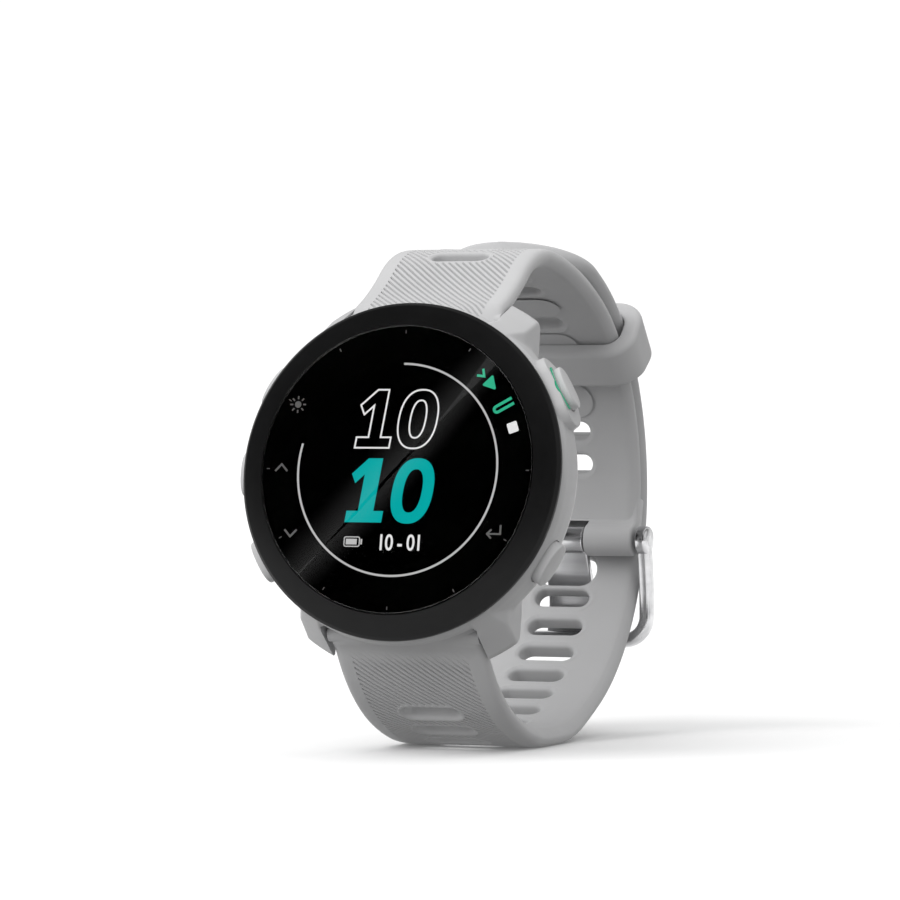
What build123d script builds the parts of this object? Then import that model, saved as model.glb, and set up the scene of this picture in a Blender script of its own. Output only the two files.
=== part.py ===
from build123d import *
import os
from math import atan2, cos, radians, sin

# GPS running watch, buckled into a closed loop and standing on its strap.
# Millimetres. +X points to 3 o'clock, +Y runs from the dial to the buckle, +Z is up.
# The origin is on the surface under the strap, below the middle of the watch.
#
# Case pieces are drawn in the face frame and then leaned back by stand():
#   x to 3 o'clock, depth (Y) from the glass towards the wrist, up (Z) to 12 o'clock.
# Strap pieces are drawn standing, in side view, and extruded across the strap.

os.makedirs("parts", exist_ok=True)

# ---------------------------------------------------------------- driving sizes
case_radius = 21.0
lean_back = 10.42
dial_centre = (0.39, -30.175, 35.245)

glass_radius = 17.7
glass_thickness = 0.6
mask_back = 0.7
seat_depth = 1.05
bezel_radius = 20.8
bezel_slope_depth = 1.2
case_front = 2.3
case_back = 9.0
cavity_radius = 15.9
lug_radius = 24.2
lug_inner_x = 10.25
lug_outer_x = 14.2
lug_back = 9.6
flange_back = 4.2

display_radius = 14.2
display_front = 0.8
display_back = 2.2
board_front = 3.3
board_back = 4.1
board_radius = 15.6
cover_back = 10.3
cover_radius = 19.3
window_back = 11.6
window_radius = 6.0
screw_circle = 17.95
screw_clocks = (35, 145, 215, 325)

strap_width = 20.0
strap_thickness = 2.3
layer_gap = 0.25
bar_depth = 6.8
bar_height = 19.3
bar_radius = 0.75
bar_tip_radius = 0.4

slot_length = 7.4
slot_width = 2.4

button_depth = 5.2
button_clocks = {"light": 300, "up": 270, "down": 240, "start": 61, "back": 119.5}
button_reach = {"light": 22.2, "up": 22.2, "down": 22.2, "start": 22.9, "back": 22.2}
button_travel = 0.55
cap_length = 5.6
cap_width = 3.5
cap_underside = 19.8
shoulder_reach = 22.0
accent_depth = 7.07
accent_outer = 4.42
accent_inner = 3.87
accent_height = 0.65
accent_half_angle = 44.0
stem_radius = 0.7
stem_end = 14.8
running_gap = 0.02

# The strap's route, seen from +X with y to the right and z up, is a chain of bends.
# Each bend is (length, turn in degrees). Both routes start at the buckle bar, on the
# outer face of their layer, and end where the strap meets the lugs.
buckle_start = (59.94, -10.82)
buckle_heading = 74.2
over_bends = [(14.15, 29.6), (24.3, 48.6), (17.7, 19.9), (4.5, 16.3), (6.7, 28.4), (11.25, -18.8)]
under_bends = [(26.95, -49.6), (7.2, -4.7), (6.9, -20.1), (5.0, 0.0)]
under_bends += [(6.4, -15.4), (5.8, -8.9), (14.65, -33.3)]
tail_length = 54.3
tail_tip_radius = 9.0

over_slot_first = 10.9
over_slot_pitch = 4.82
over_slot_count = 12
under_slot_first = 8.2
under_slot_pitch = 4.92
under_slot_count = 12
tail_slot_first = 6.5
tail_slot_pitch = 5.2
tail_slot_count = 9

keeper_at = 27.55
keeper_length = 6.6
keeper_wall = 2.2
keeper_side_gap = 0.3
keeper_gap_in = 0.3
keeper_gap_out = 0.45

bar_inset = 2.15
knuckle_radius = 2.1
buckle_bar_radius = 0.7
buckle_arm_inner = 10.35
buckle_arm_outer = 12.05
buckle_end_radius = 1.9
far_bar_radius = 1.1
prong_thickness = 1.1
prong_width = 6.2
prong_notch = 6.9
prong_slot = 7.2


# ---------------------------------------------------------------- helpers: face frame
def stand(piece):
    """Lean a piece drawn in the face frame back and put it at the dial centre."""
    return Pos(*dial_centre) * Rot(-lean_back, 0, 0) * piece


def side_point(depth, up):
    """A face-frame (depth, up) pair as standing (y, z) measured from the dial centre."""
    lean = radians(lean_back)
    return (depth * cos(lean) + up * sin(lean), up * cos(lean) - depth * sin(lean))


def disc(radius, front, back):
    return Pos(0, (front + back) / 2, 0) * Rot(90, 0, 0) * Cylinder(radius, back - front)


def ring(outer, inner, front, back):
    return disc(outer, front, back) - disc(inner, front - 1, back + 1)


def turned(outline):
    """Turn a closed (radius, depth) outline about the dial axis."""
    return revolve(make_face(Polyline(*outline, close=True)), Axis.Y)


def block(x_range, depth_range, up_range):
    sizes = [high - low for low, high in (x_range, depth_range, up_range)]
    middles = [(high + low) / 2 for low, high in (x_range, depth_range, up_range)]
    return Pos(*middles) * Box(*sizes)


def at_clock(piece, clock):
    """Swing a piece drawn along +Z (12 o'clock) round the dial to a clock angle."""
    return Rot(0, clock, 0) * piece


def radial_rod(radius, inner, outer, depth=button_depth):
    """A rod along +Z between two distances from the dial axis."""
    return Pos(0, depth, (inner + outer) / 2) * Cylinder(radius, outer - inner)


def pill(length, width, inner, outer, depth=button_depth):
    """A rounded-end bar on the +Z axis: length round the case, width along the depth."""
    outline = SlotOverall(length, width)
    return Pos(0, depth, inner) * extrude(outline, outer - inner)


def joined(pieces):
    """Separate solids kept together as one node."""
    solids = []
    for piece in pieces:
        solids.extend(piece.solids())
    return Compound(children=solids)


def save(piece, node):
    export_step(piece, f"parts/{node}.step")


# ---------------------------------------------------------------- helpers: strap routes
def walk(start, heading, bends):
    """Stations (y, z, heading) at the start, middle and end of each bend."""
    y, z = start
    stations = [(y, z, heading)]
    for length, turn in bends:
        for _ in range(2):
            half_turn = radians(turn / 2)
            chord = length / 2
            if turn:
                chord = length / 2 * sin(half_turn / 2) / (half_turn / 2)
            middle = radians(heading) + half_turn / 2
            y += chord * cos(middle)
            z += chord * sin(middle)
            heading += turn / 2
            stations.append((y, z, heading))
    return stations


def beside(station, offset):
    """The point that lies offset to the left of a station."""
    y, z, heading = station
    angle = radians(heading)
    return (y - offset * sin(angle), z + offset * cos(angle))


def rail(stations, offset):
    """Edges that run parallel to a route, offset to its left."""
    edges = []
    for k in range(0, len(stations) - 2, 2):
        first, middle, last = (beside(stations[k + j], offset) for j in range(3))
        if stations[k][2] == stations[k + 2][2]:
            edges.append(Line(first, last))
        else:
            edges.append(ThreePointArc(first, middle, last))
    return edges


def band(stations, near, far):
    """The face between two lines parallel to a route."""
    edges = rail(stations, near) + rail(stations, far)
    for end in (stations[0], stations[-1]):
        edges.append(Line(beside(end, near), beside(end, far)))
    return make_face(edges)


def across(face, x_from, x_to):
    """Extrude a side-view face across the strap and put it at the dial centre."""
    solid = extrude(Plane.YZ * face, x_to - x_from)
    return Pos(*dial_centre) * Pos(x_from, 0, 0) * solid


def cut_bends(bends, length):
    """The first part of a route, this long."""
    kept = []
    for bend_length, turn in bends:
        if length <= 0:
            break
        share = min(1.0, length / bend_length)
        kept.append((bend_length * share, turn * share))
        length -= bend_length
    return kept


def parallel(bends, offset):
    """The same turns on a line that lies offset outside a left-turning route."""
    return [(length + offset * radians(turn), turn) for length, turn in bends]


def station_at(start, heading, bends, distance):
    return walk(start, heading, cut_bends(bends, distance))[-1]


def through_cut(station, inward, length=slot_length, width=slot_width):
    """A rounded slot cut square through the layer whose outer face is the route."""
    y, z, heading = station
    middle = beside(station, inward * strap_thickness / 2)
    angle = radians(heading)
    plane = Plane(
        origin=(0, middle[0], middle[1]),
        x_dir=(1, 0, 0),
        z_dir=(0, -sin(angle), cos(angle)),
    )
    cutter = extrude(plane * SlotOverall(length, width), strap_thickness, both=True)
    return Pos(*dial_centre) * cutter


def rod_across(centre, radius, x_from, x_to):
    """A rod along X at a standing (y, z) point measured from the dial centre."""
    rod = Rot(0, 90, 0) * Cylinder(radius, x_to - x_from)
    return Pos(*dial_centre) * Pos((x_from + x_to) / 2, *centre) * rod


# ---------------------------------------------------------------- case and bezel
def button_space(name):
    """Everything cut out of the case wall for one button."""
    pocket = pill(cap_length + 0.24, cap_width + 0.24, 19.1, 24)
    well = radial_rod(1.5, 17.4, 19.2)
    bore = radial_rod(1.3, cavity_radius - 1, 17.5)
    return at_clock(pocket + well + bore, button_clocks[name])


def screw_hole(radius, front, back):
    hole = Pos(0, (front + back) / 2, screw_circle) * Rot(90, 0, 0) * Cylinder(radius, back - front)
    return [at_clock(hole, clock) for clock in screw_clocks]


def accent_arc():
    """The coloured crescent let into the shoulder in front of the start button."""
    crescent = Circle(accent_outer) - Circle(accent_inner)
    tip_x = accent_outer * sin(radians(accent_half_angle))
    crescent &= Pos(0, -accent_outer) * Rectangle(2 * tip_x, 2 * accent_outer)
    arc = Pos(0, accent_depth, shoulder_reach - accent_height) * extrude(crescent, accent_height)
    arc -= pill(cap_length + 0.6, cap_width + 0.6, 19.0, 24.0)
    return at_clock(arc, button_clocks["start"])


def make_case():
    body = turned([
        (cavity_radius, case_front), (20.5, case_front), (case_radius, 3.2),
        (21.1, 6.4), (20.5, 8.2), (19.9, case_back), (cavity_radius, case_back),
    ])
    flare = turned([
        (14.0, 2.4), (20.9, 2.4), (lug_radius, 8.9), (23.5, lug_back), (14.0, lug_back),
    ])
    for x_side in (-1, 1):
        for up_side in (-1, 1):
            x_range = sorted((x_side * lug_inner_x, x_side * lug_outer_x))
            up_range = sorted((up_side * 12.0, up_side * 25.0))
            body += flare & block(x_range, (2.0, 10.0), up_range)
    shoulder = pill(9.0, 5.4, 19.6, shoulder_reach, depth=5.3)
    body += at_clock(shoulder, button_clocks["start"])
    body -= disc(cavity_radius, 2, 10)
    body -= disc(cover_radius + 0.05, case_back, 11)
    body -= ring(16.75, 16.15, 8.5, 9.5)
    for up_side in (-1, 1):
        up_range = sorted((up_side * 17.2, up_side * 26.0))
        body -= block((-lug_inner_x, lug_inner_x), (flange_back, 10.0), up_range)
        hole = Pos(0, bar_depth, up_side * bar_height) * Rot(0, 90, 0) * Cylinder(0.45, 23.8)
        body -= hole
    for name in button_clocks:
        body -= button_space(name)
    for hole in screw_hole(0.7 + running_gap, 5.7, 9.5):
        body -= hole
    body -= accent_arc()
    return body


def make_bezel():
    return turned([
        (glass_radius + 0.05, 0.05), (20.4, bezel_slope_depth), (bezel_radius, 1.6),
        (bezel_radius, 2.1), (20.6, case_front), (16.6, case_front), (16.6, seat_depth),
        (glass_radius + 0.05, seat_depth),
    ])


def make_lens():
    return turned([
        (0, 0), (glass_radius - 0.15, 0), (glass_radius, 0.15),
        (glass_radius, glass_thickness), (0, glass_thickness),
    ])


def make_display_frame():
    wall = ring(cavity_radius - 0.05, display_radius + 0.05, 1.8, board_front)
    lip = ring(display_radius + 0.1, 12.2, 2.9, board_front)
    return wall + lip


# ---------------------------------------------------------------- electronics
def make_board():
    board = disc(board_radius, board_front, board_back)
    for clock in (0, 180):
        notch = Pos(0, 3.7, 15.6) * Rot(90, 0, 0) * Cylinder(1.2, 2)
        board -= at_clock(notch, clock)
    return board


def make_chips():
    chips = [
        block((-9.5, -5.0), (board_back, 5.1), (-5.0, -0.5)),
        block((-9.0, -5.5), (board_back, 4.9), (1.5, 5.0)),
        block((5.5, 9.0), (board_back, 4.9), (-6.5, -3.0)),
        block((-2.0, 2.0), (board_back, 5.0), (-9.0, -6.0)),
        block((5.5, 8.0), (board_back, 4.8), (4.5, 7.5)),
    ]
    return joined(chips)


def make_shield():
    can = block((-4.0, 4.5), (board_back, 5.5), (-4.5, 4.5))
    hollow = block((-3.8, 4.3), (board_back - 1, 5.3), (-4.3, 4.3))
    return can - hollow


def make_antenna():
    arc = ring(15.4, 14.3, board_back, 4.6)
    cover = block((-10.0, 10.0), (4.0, 5.0), (9.5, 16.0))
    return arc & cover


def make_switch(clock):
    base = block((-1.8, 1.8), (board_back, 6.0), (11.9, 13.8))
    plunger = radial_rod(0.5, 13.7, 14.2)
    return at_clock(base + plunger, clock)


def make_battery():
    cell = block((-12.0, 12.0), (6.2, 8.6), (-8.5, 8.5))
    return fillet(cell.edges().filter_by(Axis.Y), 1.5)


def make_motor():
    can = Pos(0, 7.5, 12.2) * Rot(90, 0, 0) * Cylinder(3.4, 2.6)
    return can


def make_buzzer():
    return Pos(0, 8.5, -12.2) * Rot(90, 0, 0) * Cylinder(3.4, 1.0)


# ---------------------------------------------------------------- back of the case
def make_cover():
    cover = turned([
        (0, case_back), (cover_radius, case_back), (19.1, 9.7), (18.2, cover_back), (0, cover_back),
    ])
    cover -= disc(5.0, 8, 11)
    cover -= block((-4.0, 4.0), (8, 11), (-12.6, -9.4))
    for hole in screw_hole(0.7 + running_gap, 8, 11):
        cover -= hole
    for hole in screw_hole(1.05, 9.6, 11):
        cover -= hole
    return cover


def make_screws():
    shank = Pos(0, 7.7, screw_circle) * Rot(90, 0, 0) * Cylinder(0.7, 3.8)
    head = Pos(0, 9.9, screw_circle) * Rot(90, 0, 0) * Cylinder(1.0, 0.6)
    recess = Pos(0, 10.2, screw_circle) * Rot(90, 0, 0) * extrude(RegularPolygon(0.45, 6), 0.4, both=True)
    screw = shank + head - recess
    return joined([at_clock(screw, clock) for clock in screw_clocks])


def make_window():
    dome = turned([
        (0, cover_back), (window_radius, cover_back), (5.7, 10.8), (4.6, 11.35),
        (2.6, window_back), (0, window_back),
    ])
    return dome - disc(4.4, 10, 10.9)


def make_sensor_leds():
    lamps = [block((-0.8, 0.8), (10.0, 10.5), (-0.8, 0.8))]
    for clock in (0, 120, 240):
        lamps.append(at_clock(block((-0.7, 0.7), (10.0, 10.5), (2.2, 3.4)), clock))
    return joined(lamps)


def make_contact_block():
    plate = block((-3.95, 3.95), (9.2, 10.6), (-12.55, -9.45))
    plate = fillet(plate.edges().filter_by(Axis.Y), 0.6)
    for x in contact_places():
        plate -= Pos(x, 10, -11.0) * Rot(90, 0, 0) * Cylinder(0.5, 4)
    return plate


def contact_places():
    return [-2.55 + 1.7 * k for k in range(4)]


def make_contacts():
    pins = [Pos(x, 9.9, -11.0) * Rot(90, 0, 0) * Cylinder(0.5, 1.6) for x in contact_places()]
    return joined(pins)


# ---------------------------------------------------------------- buttons
def make_bushing(clock):
    tube = radial_rod(1.3, cavity_radius + 0.1, 17.4) - radial_rod(stem_radius + running_gap, 10, 20)
    return at_clock(tube, clock)


def make_seal(clock):
    seal = radial_rod(1.48, 17.4, 17.85) - radial_rod(stem_radius + running_gap, 10, 20)
    return at_clock(seal, clock)


def make_button(name):
    cap = pill(cap_length, cap_width, cap_underside, button_reach[name])
    cap = fillet(cap.faces().sort_by(Axis.Z)[-1].edges(), 0.5)
    stem = radial_rod(stem_radius, stem_end, cap_underside + 0.2)
    groove = radial_rod(1.0, 15.28, 15.62) - radial_rod(0.5, 15, 16)
    return at_clock(cap + stem - groove, button_clocks[name])


def make_clip(name):
    clip = radial_rod(1.05, 15.31, 15.59) - radial_rod(0.52, 15, 16)
    mouth = block((-0.4, 0.4), (button_depth, button_depth + 2), (15, 16))
    return at_clock(clip - mouth, button_clocks[name])


def coil_spring(mean_radius, wire_radius, turns, pitch):
    """A coil spring standing on the XY plane along +Z."""
    path = Helix(pitch, turns * pitch, mean_radius)
    section = Plane(path @ 0, z_dir=path % 0) * Circle(wire_radius)
    return sweep(section, path)


def make_button_spring(name):
    coil = coil_spring(1.12, 0.11, 3.5, 0.45)
    return at_clock(Pos(0, button_depth, 17.98) * coil, button_clocks[name])


# ---------------------------------------------------------------- strap
over_route = walk(buckle_start, buckle_heading, over_bends)
under_start = beside(over_route[0], -(layer_gap + strap_thickness))
under_route = walk(under_start, buckle_heading - 180, under_bends)
tail_bends = cut_bends(parallel(over_bends, layer_gap + strap_thickness), tail_length)
tail_route = walk(under_start, buckle_heading, tail_bends)
buckle_pivot = beside(over_route[0], bar_inset)


def lug_block(route_end, inward, up_side):
    """The moulded end of a strap, which fills the space between the lugs."""
    end_outer = beside(route_end, 0)
    end_inner = beside(route_end, inward * strap_thickness)
    outline = [
        side_point(flange_back + 0.15, up_side * 17.6),
        side_point(flange_back + 0.15, up_side * 20.3),
        end_outer,
        end_inner,
        side_point(bar_depth + 1.7, up_side * (bar_height + 0.1)),
        side_point(bar_depth, up_side * (bar_height - 1.85)),
    ]
    knuckle = Pos(*side_point(bar_depth, up_side * bar_height)) * Circle(1.85)
    return across(make_face(Polyline(*outline, close=True)) + knuckle, -strap_width / 2, strap_width / 2)


def release_window(up_side):
    """The opening at the wrist side of a strap end, where the release knob is reached."""
    up_range = sorted((up_side * 14.0, up_side * bar_height))
    window = block((3.0, 6.8), (bar_depth - 0.6, bar_depth + 0.6), up_range)
    return stand(window)


def make_upper_strap():
    strap = across(band(over_route, 0, strap_thickness), -strap_width / 2, strap_width / 2)
    strap += lug_block(over_route[-1], 1, 1)
    strap += rod_across(buckle_pivot, knuckle_radius, -strap_width / 2, strap_width / 2)
    for k in range(over_slot_count):
        distance = over_slot_first + k * over_slot_pitch
        strap -= through_cut(station_at(buckle_start, buckle_heading, over_bends, distance), 1)
    strap -= rod_across(buckle_pivot, buckle_bar_radius + 0.03, -15, 15)
    y, z = buckle_pivot
    notch = Pos(*dial_centre) * Pos(0, y, z - 1.5) * Box(prong_notch, 8, 8)
    strap -= notch
    strap -= rod_across(side_point(bar_depth, bar_height), bar_radius + 0.02, -15, 15)
    strap -= release_window(1)
    return strap


def make_tail_tip():
    """The rounded end of the lower strap, cut to a half round of the strap's width."""
    y, z, heading = tail_route[-1]
    angle = radians(heading)
    plane = Plane(
        origin=(0, y - tail_tip_radius * cos(angle), z - tail_tip_radius * sin(angle)),
        x_dir=(1, 0, 0),
        z_dir=(0, -sin(angle), cos(angle)),
    )
    half = strap_width / 2
    keep = Pos(0, -20) * Rectangle(strap_width + 2, 40) + Ellipse(half, tail_tip_radius)
    trim = Pos(0, tail_tip_radius) * Rectangle(strap_width + 4, 2 * tail_tip_radius + 4) - keep
    return Pos(*dial_centre) * extrude(plane * trim, 6, both=True)


def make_lower_strap():
    strap = across(band(under_route, 0, -strap_thickness), -strap_width / 2, strap_width / 2)
    strap += across(band(tail_route, 0, strap_thickness), -strap_width / 2, strap_width / 2)
    strap += lug_block(under_route[-1], -1, -1)
    strap -= make_tail_tip()
    for k in range(under_slot_count):
        distance = under_slot_first + k * under_slot_pitch
        station = station_at(under_start, buckle_heading - 180, under_bends, distance)
        strap -= through_cut(station, -1)
    for k in range(tail_slot_count):
        distance = tail_slot_first + k * tail_slot_pitch
        station = station_at(under_start, buckle_heading, tail_bends, distance)
        strap -= through_cut(station, 1)
    strap -= prong_solid(0.4, prong_slot)
    strap -= rod_across(side_point(bar_depth, -bar_height), bar_radius + 0.02, -15, 15)
    strap -= release_window(-1)
    return strap


# ---------------------------------------------------------------- spring bars
def bar_at(up_side, piece):
    return stand(Pos(0, bar_depth, up_side * bar_height) * piece)


def x_rod(radius, x_from, x_to):
    return Pos((x_from + x_to) / 2, 0, 0) * Rot(0, 90, 0) * Cylinder(radius, x_to - x_from)


def make_spring_bar(up_side):
    tube = x_rod(bar_radius, -9.9, 9.9) + x_rod(bar_tip_radius, -11.6, -9.8)
    tube -= x_rod(bar_tip_radius + running_gap, 1.2, 10.5)
    opening = Pos(4.9, 0, -up_side * 1.0) * Box(3.4, 0.9, 2.0)
    return bar_at(up_side, tube - opening)


def make_release_pin(up_side):
    pin = x_rod(bar_tip_radius, 4.4, 11.6)
    knob = Pos(5.8, 0, -up_side * 1.05) * Cylinder(0.4, 2.1)
    return bar_at(up_side, pin + knob)


def make_release_spring(up_side):
    coil = Pos(1.4, 0, 0) * Rot(0, 90, 0) * coil_spring(0.28, 0.07, 7, 0.4)
    return bar_at(up_side, coil)


# ---------------------------------------------------------------- buckle and keeper
arm_route = walk(buckle_pivot, -77.0, [(4.6, -5.0), (4.6, -10.0), (4.1, -8.0)])
prong_route = walk(buckle_pivot, -65.0, [(5.2, 0.0), (3.0, -16.0), (2.8, -22.0), (2.6, -4.0)])
far_bar_place = beside(arm_route[-1], 0)


def round_ended(route, width):
    """A side-view outline of even width along a route, with round ends."""
    plate = band(route, -width / 2, width / 2)
    for station in (route[0], route[-1]):
        plate += Pos(*beside(station, 0)) * Circle(width / 2)
    return plate


def make_buckle_frame():
    frame = rod_across(far_bar_place, far_bar_radius, -buckle_arm_outer, buckle_arm_outer)
    arm = round_ended(arm_route, 2 * far_bar_radius) + Pos(*buckle_pivot) * Circle(buckle_end_radius)
    frame += across(arm, buckle_arm_inner, buckle_arm_outer)
    frame += across(arm, -buckle_arm_outer, -buckle_arm_inner)
    frame -= rod_across(buckle_pivot, buckle_bar_radius + running_gap, -15, 15)
    return frame


def prong_solid(extra, width):
    outline = round_ended(prong_route, prong_thickness + 2 * extra)
    return across(outline, -width / 2, width / 2)


def make_tongue():
    hub = rod_across(buckle_pivot, 1.8, -prong_width / 2, prong_width / 2)
    hub += prong_solid(0, prong_width)
    return hub - rod_across(buckle_pivot, buckle_bar_radius + running_gap, -15, 15)


def keeper_centre():
    """The middle of the bend that the keeper slides along, and the bend's radius."""
    length, turn = over_bends[1]
    radius = length / radians(turn)
    return beside(over_route[2], radius), radius


def keeper_sector(inner, outer, half_width, swing):
    """Part of a ring about the middle of the keeper's bend."""
    centre, _ = keeper_centre()
    face = Pos(*centre) * (Circle(outer) - Circle(inner))
    y, z, _ = station_at(buckle_start, buckle_heading, over_bends, keeper_at)
    angle = atan2(z - centre[1], y - centre[0])
    reach = 60
    wedge = make_face(Polyline(
        centre,
        (centre[0] + reach * cos(angle - swing), centre[1] + reach * sin(angle - swing)),
        (centre[0] + reach * cos(angle + swing), centre[1] + reach * sin(angle + swing)),
        close=True))
    return across(face & wedge, -half_width, half_width)


def make_keeper():
    _, radius = keeper_centre()
    hole_inner = radius - strap_thickness - keeper_gap_in
    hole_outer = radius + layer_gap + strap_thickness + keeper_gap_out
    swing = keeper_length / 2 / radius
    half_hole = strap_width / 2 + keeper_side_gap
    inner, outer = hole_inner - keeper_wall, hole_outer + keeper_wall
    outside = keeper_sector(inner, outer, half_hole + keeper_wall, swing)
    corners = outside.edges().filter_by(lambda edge: abs(edge.center().X - dial_centre[0]) > half_hole)
    long_corners = corners.filter_by(GeomType.CIRCLE)
    outside = fillet(long_corners, 1.9)
    return outside - keeper_sector(hole_inner, hole_outer, half_hole, 2 * swing)


# ---------------------------------------------------------------- build every node
face_frame_nodes = {
    "case_body": make_case,
    "bezel": make_bezel,
    "lens": make_lens,
    "dial_mask": lambda: ring(17.6, 13.3, glass_thickness, mask_back),
    "lens_seal": lambda: ring(17.65, 16.65, mask_back, seat_depth),
    "display_panel": lambda: disc(display_radius, display_front, display_back),
    "backlight": lambda: disc(display_radius, display_back, 2.9),
    "display_frame": make_display_frame,
    "main_board": make_board,
    "board_chips": make_chips,
    "shield_can": make_shield,
    "gps_antenna": make_antenna,
    "tact_switches": lambda: joined([make_switch(clock) for clock in button_clocks.values()]),
    "battery": make_battery,
    "battery_pad": lambda: block((-11.0, 11.0), (8.6, case_back), (-7.5, 7.5)),
    "vibration_motor": make_motor,
    "buzzer": make_buzzer,
    "case_seal": lambda: ring(16.7, 16.2, 8.52, case_back),
    "back_cover": make_cover,
    "back_screws": make_screws,
    "sensor_board": lambda: disc(4.9, 9.4, 10.0),
    "sensor_leds": make_sensor_leds,
    "sensor_window": make_window,
    "contact_block": make_contact_block,
    "charging_contacts": make_contacts,
    "button_bushings": lambda: joined([make_bushing(clock) for clock in button_clocks.values()]),
    "button_seals": lambda: joined([make_seal(clock) for clock in button_clocks.values()]),
    "start_accent": accent_arc,
}
for node, make in face_frame_nodes.items():
    save(stand(make()), node)

for name in button_clocks:
    save(stand(make_button(name)), f"button_{name}")
    save(stand(make_clip(name)), f"clip_{name}")
    save(stand(make_button_spring(name)), f"spring_{name}")

save(make_upper_strap(), "upper_strap")
save(make_lower_strap(), "lower_strap")
for side_name, up_side in (("upper", 1), ("lower", -1)):
    save(make_spring_bar(up_side), f"spring_bar_{side_name}")
    save(make_release_pin(up_side), f"release_pin_{side_name}")
    save(make_release_spring(up_side), f"release_spring_{side_name}")
save(rod_across(buckle_pivot, buckle_bar_radius, -buckle_arm_outer, buckle_arm_outer), "buckle_bar")
save(make_buckle_frame(), "buckle_frame")
save(make_tongue(), "buckle_tongue")
save(make_keeper(), "keeper_loop")
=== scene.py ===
from math import atan2, ceil, cos, pi, radians, sin, sqrt, tan

import bmesh
import bpy
import numpy as np
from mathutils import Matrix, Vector
from mathutils.geometry import tessellate_polygon


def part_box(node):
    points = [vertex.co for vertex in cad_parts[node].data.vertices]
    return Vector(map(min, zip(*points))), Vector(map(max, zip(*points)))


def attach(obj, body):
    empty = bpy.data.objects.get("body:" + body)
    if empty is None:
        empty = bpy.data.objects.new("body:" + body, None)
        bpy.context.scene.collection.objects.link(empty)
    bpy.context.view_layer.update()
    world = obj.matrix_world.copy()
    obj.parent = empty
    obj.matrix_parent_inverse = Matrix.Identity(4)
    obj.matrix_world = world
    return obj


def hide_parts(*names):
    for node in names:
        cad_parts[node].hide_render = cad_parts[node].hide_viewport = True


# The looks of a GPS running watch that stands on its buckled strap.
# Everything is drawn in millimetres in one of two frames that start at the dial's centre:
#   face frame      (x to 3 o'clock, depth from the glass to the wrist, up to 12 o'clock)
#   standing frame  (x, y from the dial to the buckle, z up)

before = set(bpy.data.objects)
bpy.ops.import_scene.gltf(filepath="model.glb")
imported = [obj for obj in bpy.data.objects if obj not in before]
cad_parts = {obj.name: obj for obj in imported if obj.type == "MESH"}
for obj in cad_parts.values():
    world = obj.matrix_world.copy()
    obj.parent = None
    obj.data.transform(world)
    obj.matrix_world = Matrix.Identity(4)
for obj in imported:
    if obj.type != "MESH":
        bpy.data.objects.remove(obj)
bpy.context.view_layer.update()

# ------------------------------------------------------------------ sizes, in millimetres
MM = 0.001
LEAN = radians(10.42)
PANEL_MIDDLE_DEPTH = 1.5
SMOOTH_UNDER = radians(32)

GLASS_RADIUS = 17.7
GLASS_BACK = 0.6
SEAT_DEPTH = 1.05
BEZEL_RADIUS = 20.8
CAVITY_RADIUS = 15.9
CASE_STEPS = 1080
LUG_INNER = 10.25
FLANGE_BACK = 4.2
BUTTON_DEPTH = 5.2
BUTTON_CLOCKS = {"light": 300, "up": 270, "down": 240, "start": 61, "back": 119.5}
BUTTON_REACH = {"light": 22.2, "up": 22.2, "down": 22.2, "start": 22.9, "back": 22.2}
CAP_LENGTH = 5.6
CAP_WIDTH = 3.5
CAP_UNDERSIDE = 19.8

STRAP_HALF = 10.0
STRAP_THICKNESS = 2.3
LAYER_STEP = 2.55
BAR_DEPTH = 6.8
BAR_HEIGHT = 19.3
FLANGE_HEIGHT = 20.3
CASE_HUG_RADIUS = 20.85
GROOVE_HALF = 7.7
GROOVE_PITCH = 0.9
GROOVE_DEPTH = 0.42
GROOVE_PROFILE = [(0, 0), (0.13, 0.85), (0.21, 1), (0.29, 0.85), (0.42, 0), (0.66, 0)]
SLOT_LENGTH = 7.4
SLOT_WIDTH = 2.4
MOUTH_RADIUS = 0.5

BUCKLE_HEADING = 74.2
BAR_INSET = 2.15
OVER_BENDS = [(14.15, 29.6), (24.3, 48.6), (17.7, 19.9), (4.5, 16.3), (6.7, 28.4), (11.25, -18.8)]
UNDER_BENDS = [(26.95, -49.6), (7.2, -4.7), (6.9, -20.1), (5.0, 0.0)]
UNDER_BENDS += [(6.4, -15.4), (5.8, -8.9), (14.65, -33.3)]
OVER_LUG_BENDS = [(0.35, 0.0)]
UNDER_LUG_BENDS = [(1.6, 27.0), (2.8, 0.0)]
TAIL_LENGTH = 54.3
TAIL_TIP = 9.0
OVER_SLOTS = [10.9 + 4.82 * k for k in range(12)]
UNDER_SLOTS = [8.2 + 4.92 * k for k in range(12)]
TAIL_SLOTS = [6.5 + 5.2 * k for k in range(9)]
KEEPER_AT = 27.55
KEEPER_LENGTH = 6.6
KEEPER_WALL = 2.2


# ------------------------------------------------------------------ frames
def middle(node):
    low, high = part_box(node)
    return (low + high) / 2 / MM


back_normal = Vector((0, cos(LEAN), -sin(LEAN)))
dial = middle("display_panel") - PANEL_MIDDLE_DEPTH * back_normal
buckle_pivot = middle("buckle_bar") - dial
pivot = (buckle_pivot.y, buckle_pivot.z)


def from_face(points):
    """Face-frame rows (x, depth, up) in the row frame, in millimetres."""
    x, depth, up = np.asarray(points, float).T
    return np.stack([
        dial.x + x,
        dial.y + depth * cos(LEAN) + up * sin(LEAN),
        dial.z + up * cos(LEAN) - depth * sin(LEAN),
    ], axis=1)


def from_standing(points):
    return np.asarray(points, float) + np.array(dial)


def side_point(depth, up):
    """A face-frame (depth, up) pair as standing (y, z)."""
    return (depth * cos(LEAN) + up * sin(LEAN), up * cos(LEAN) - depth * sin(LEAN))


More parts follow.
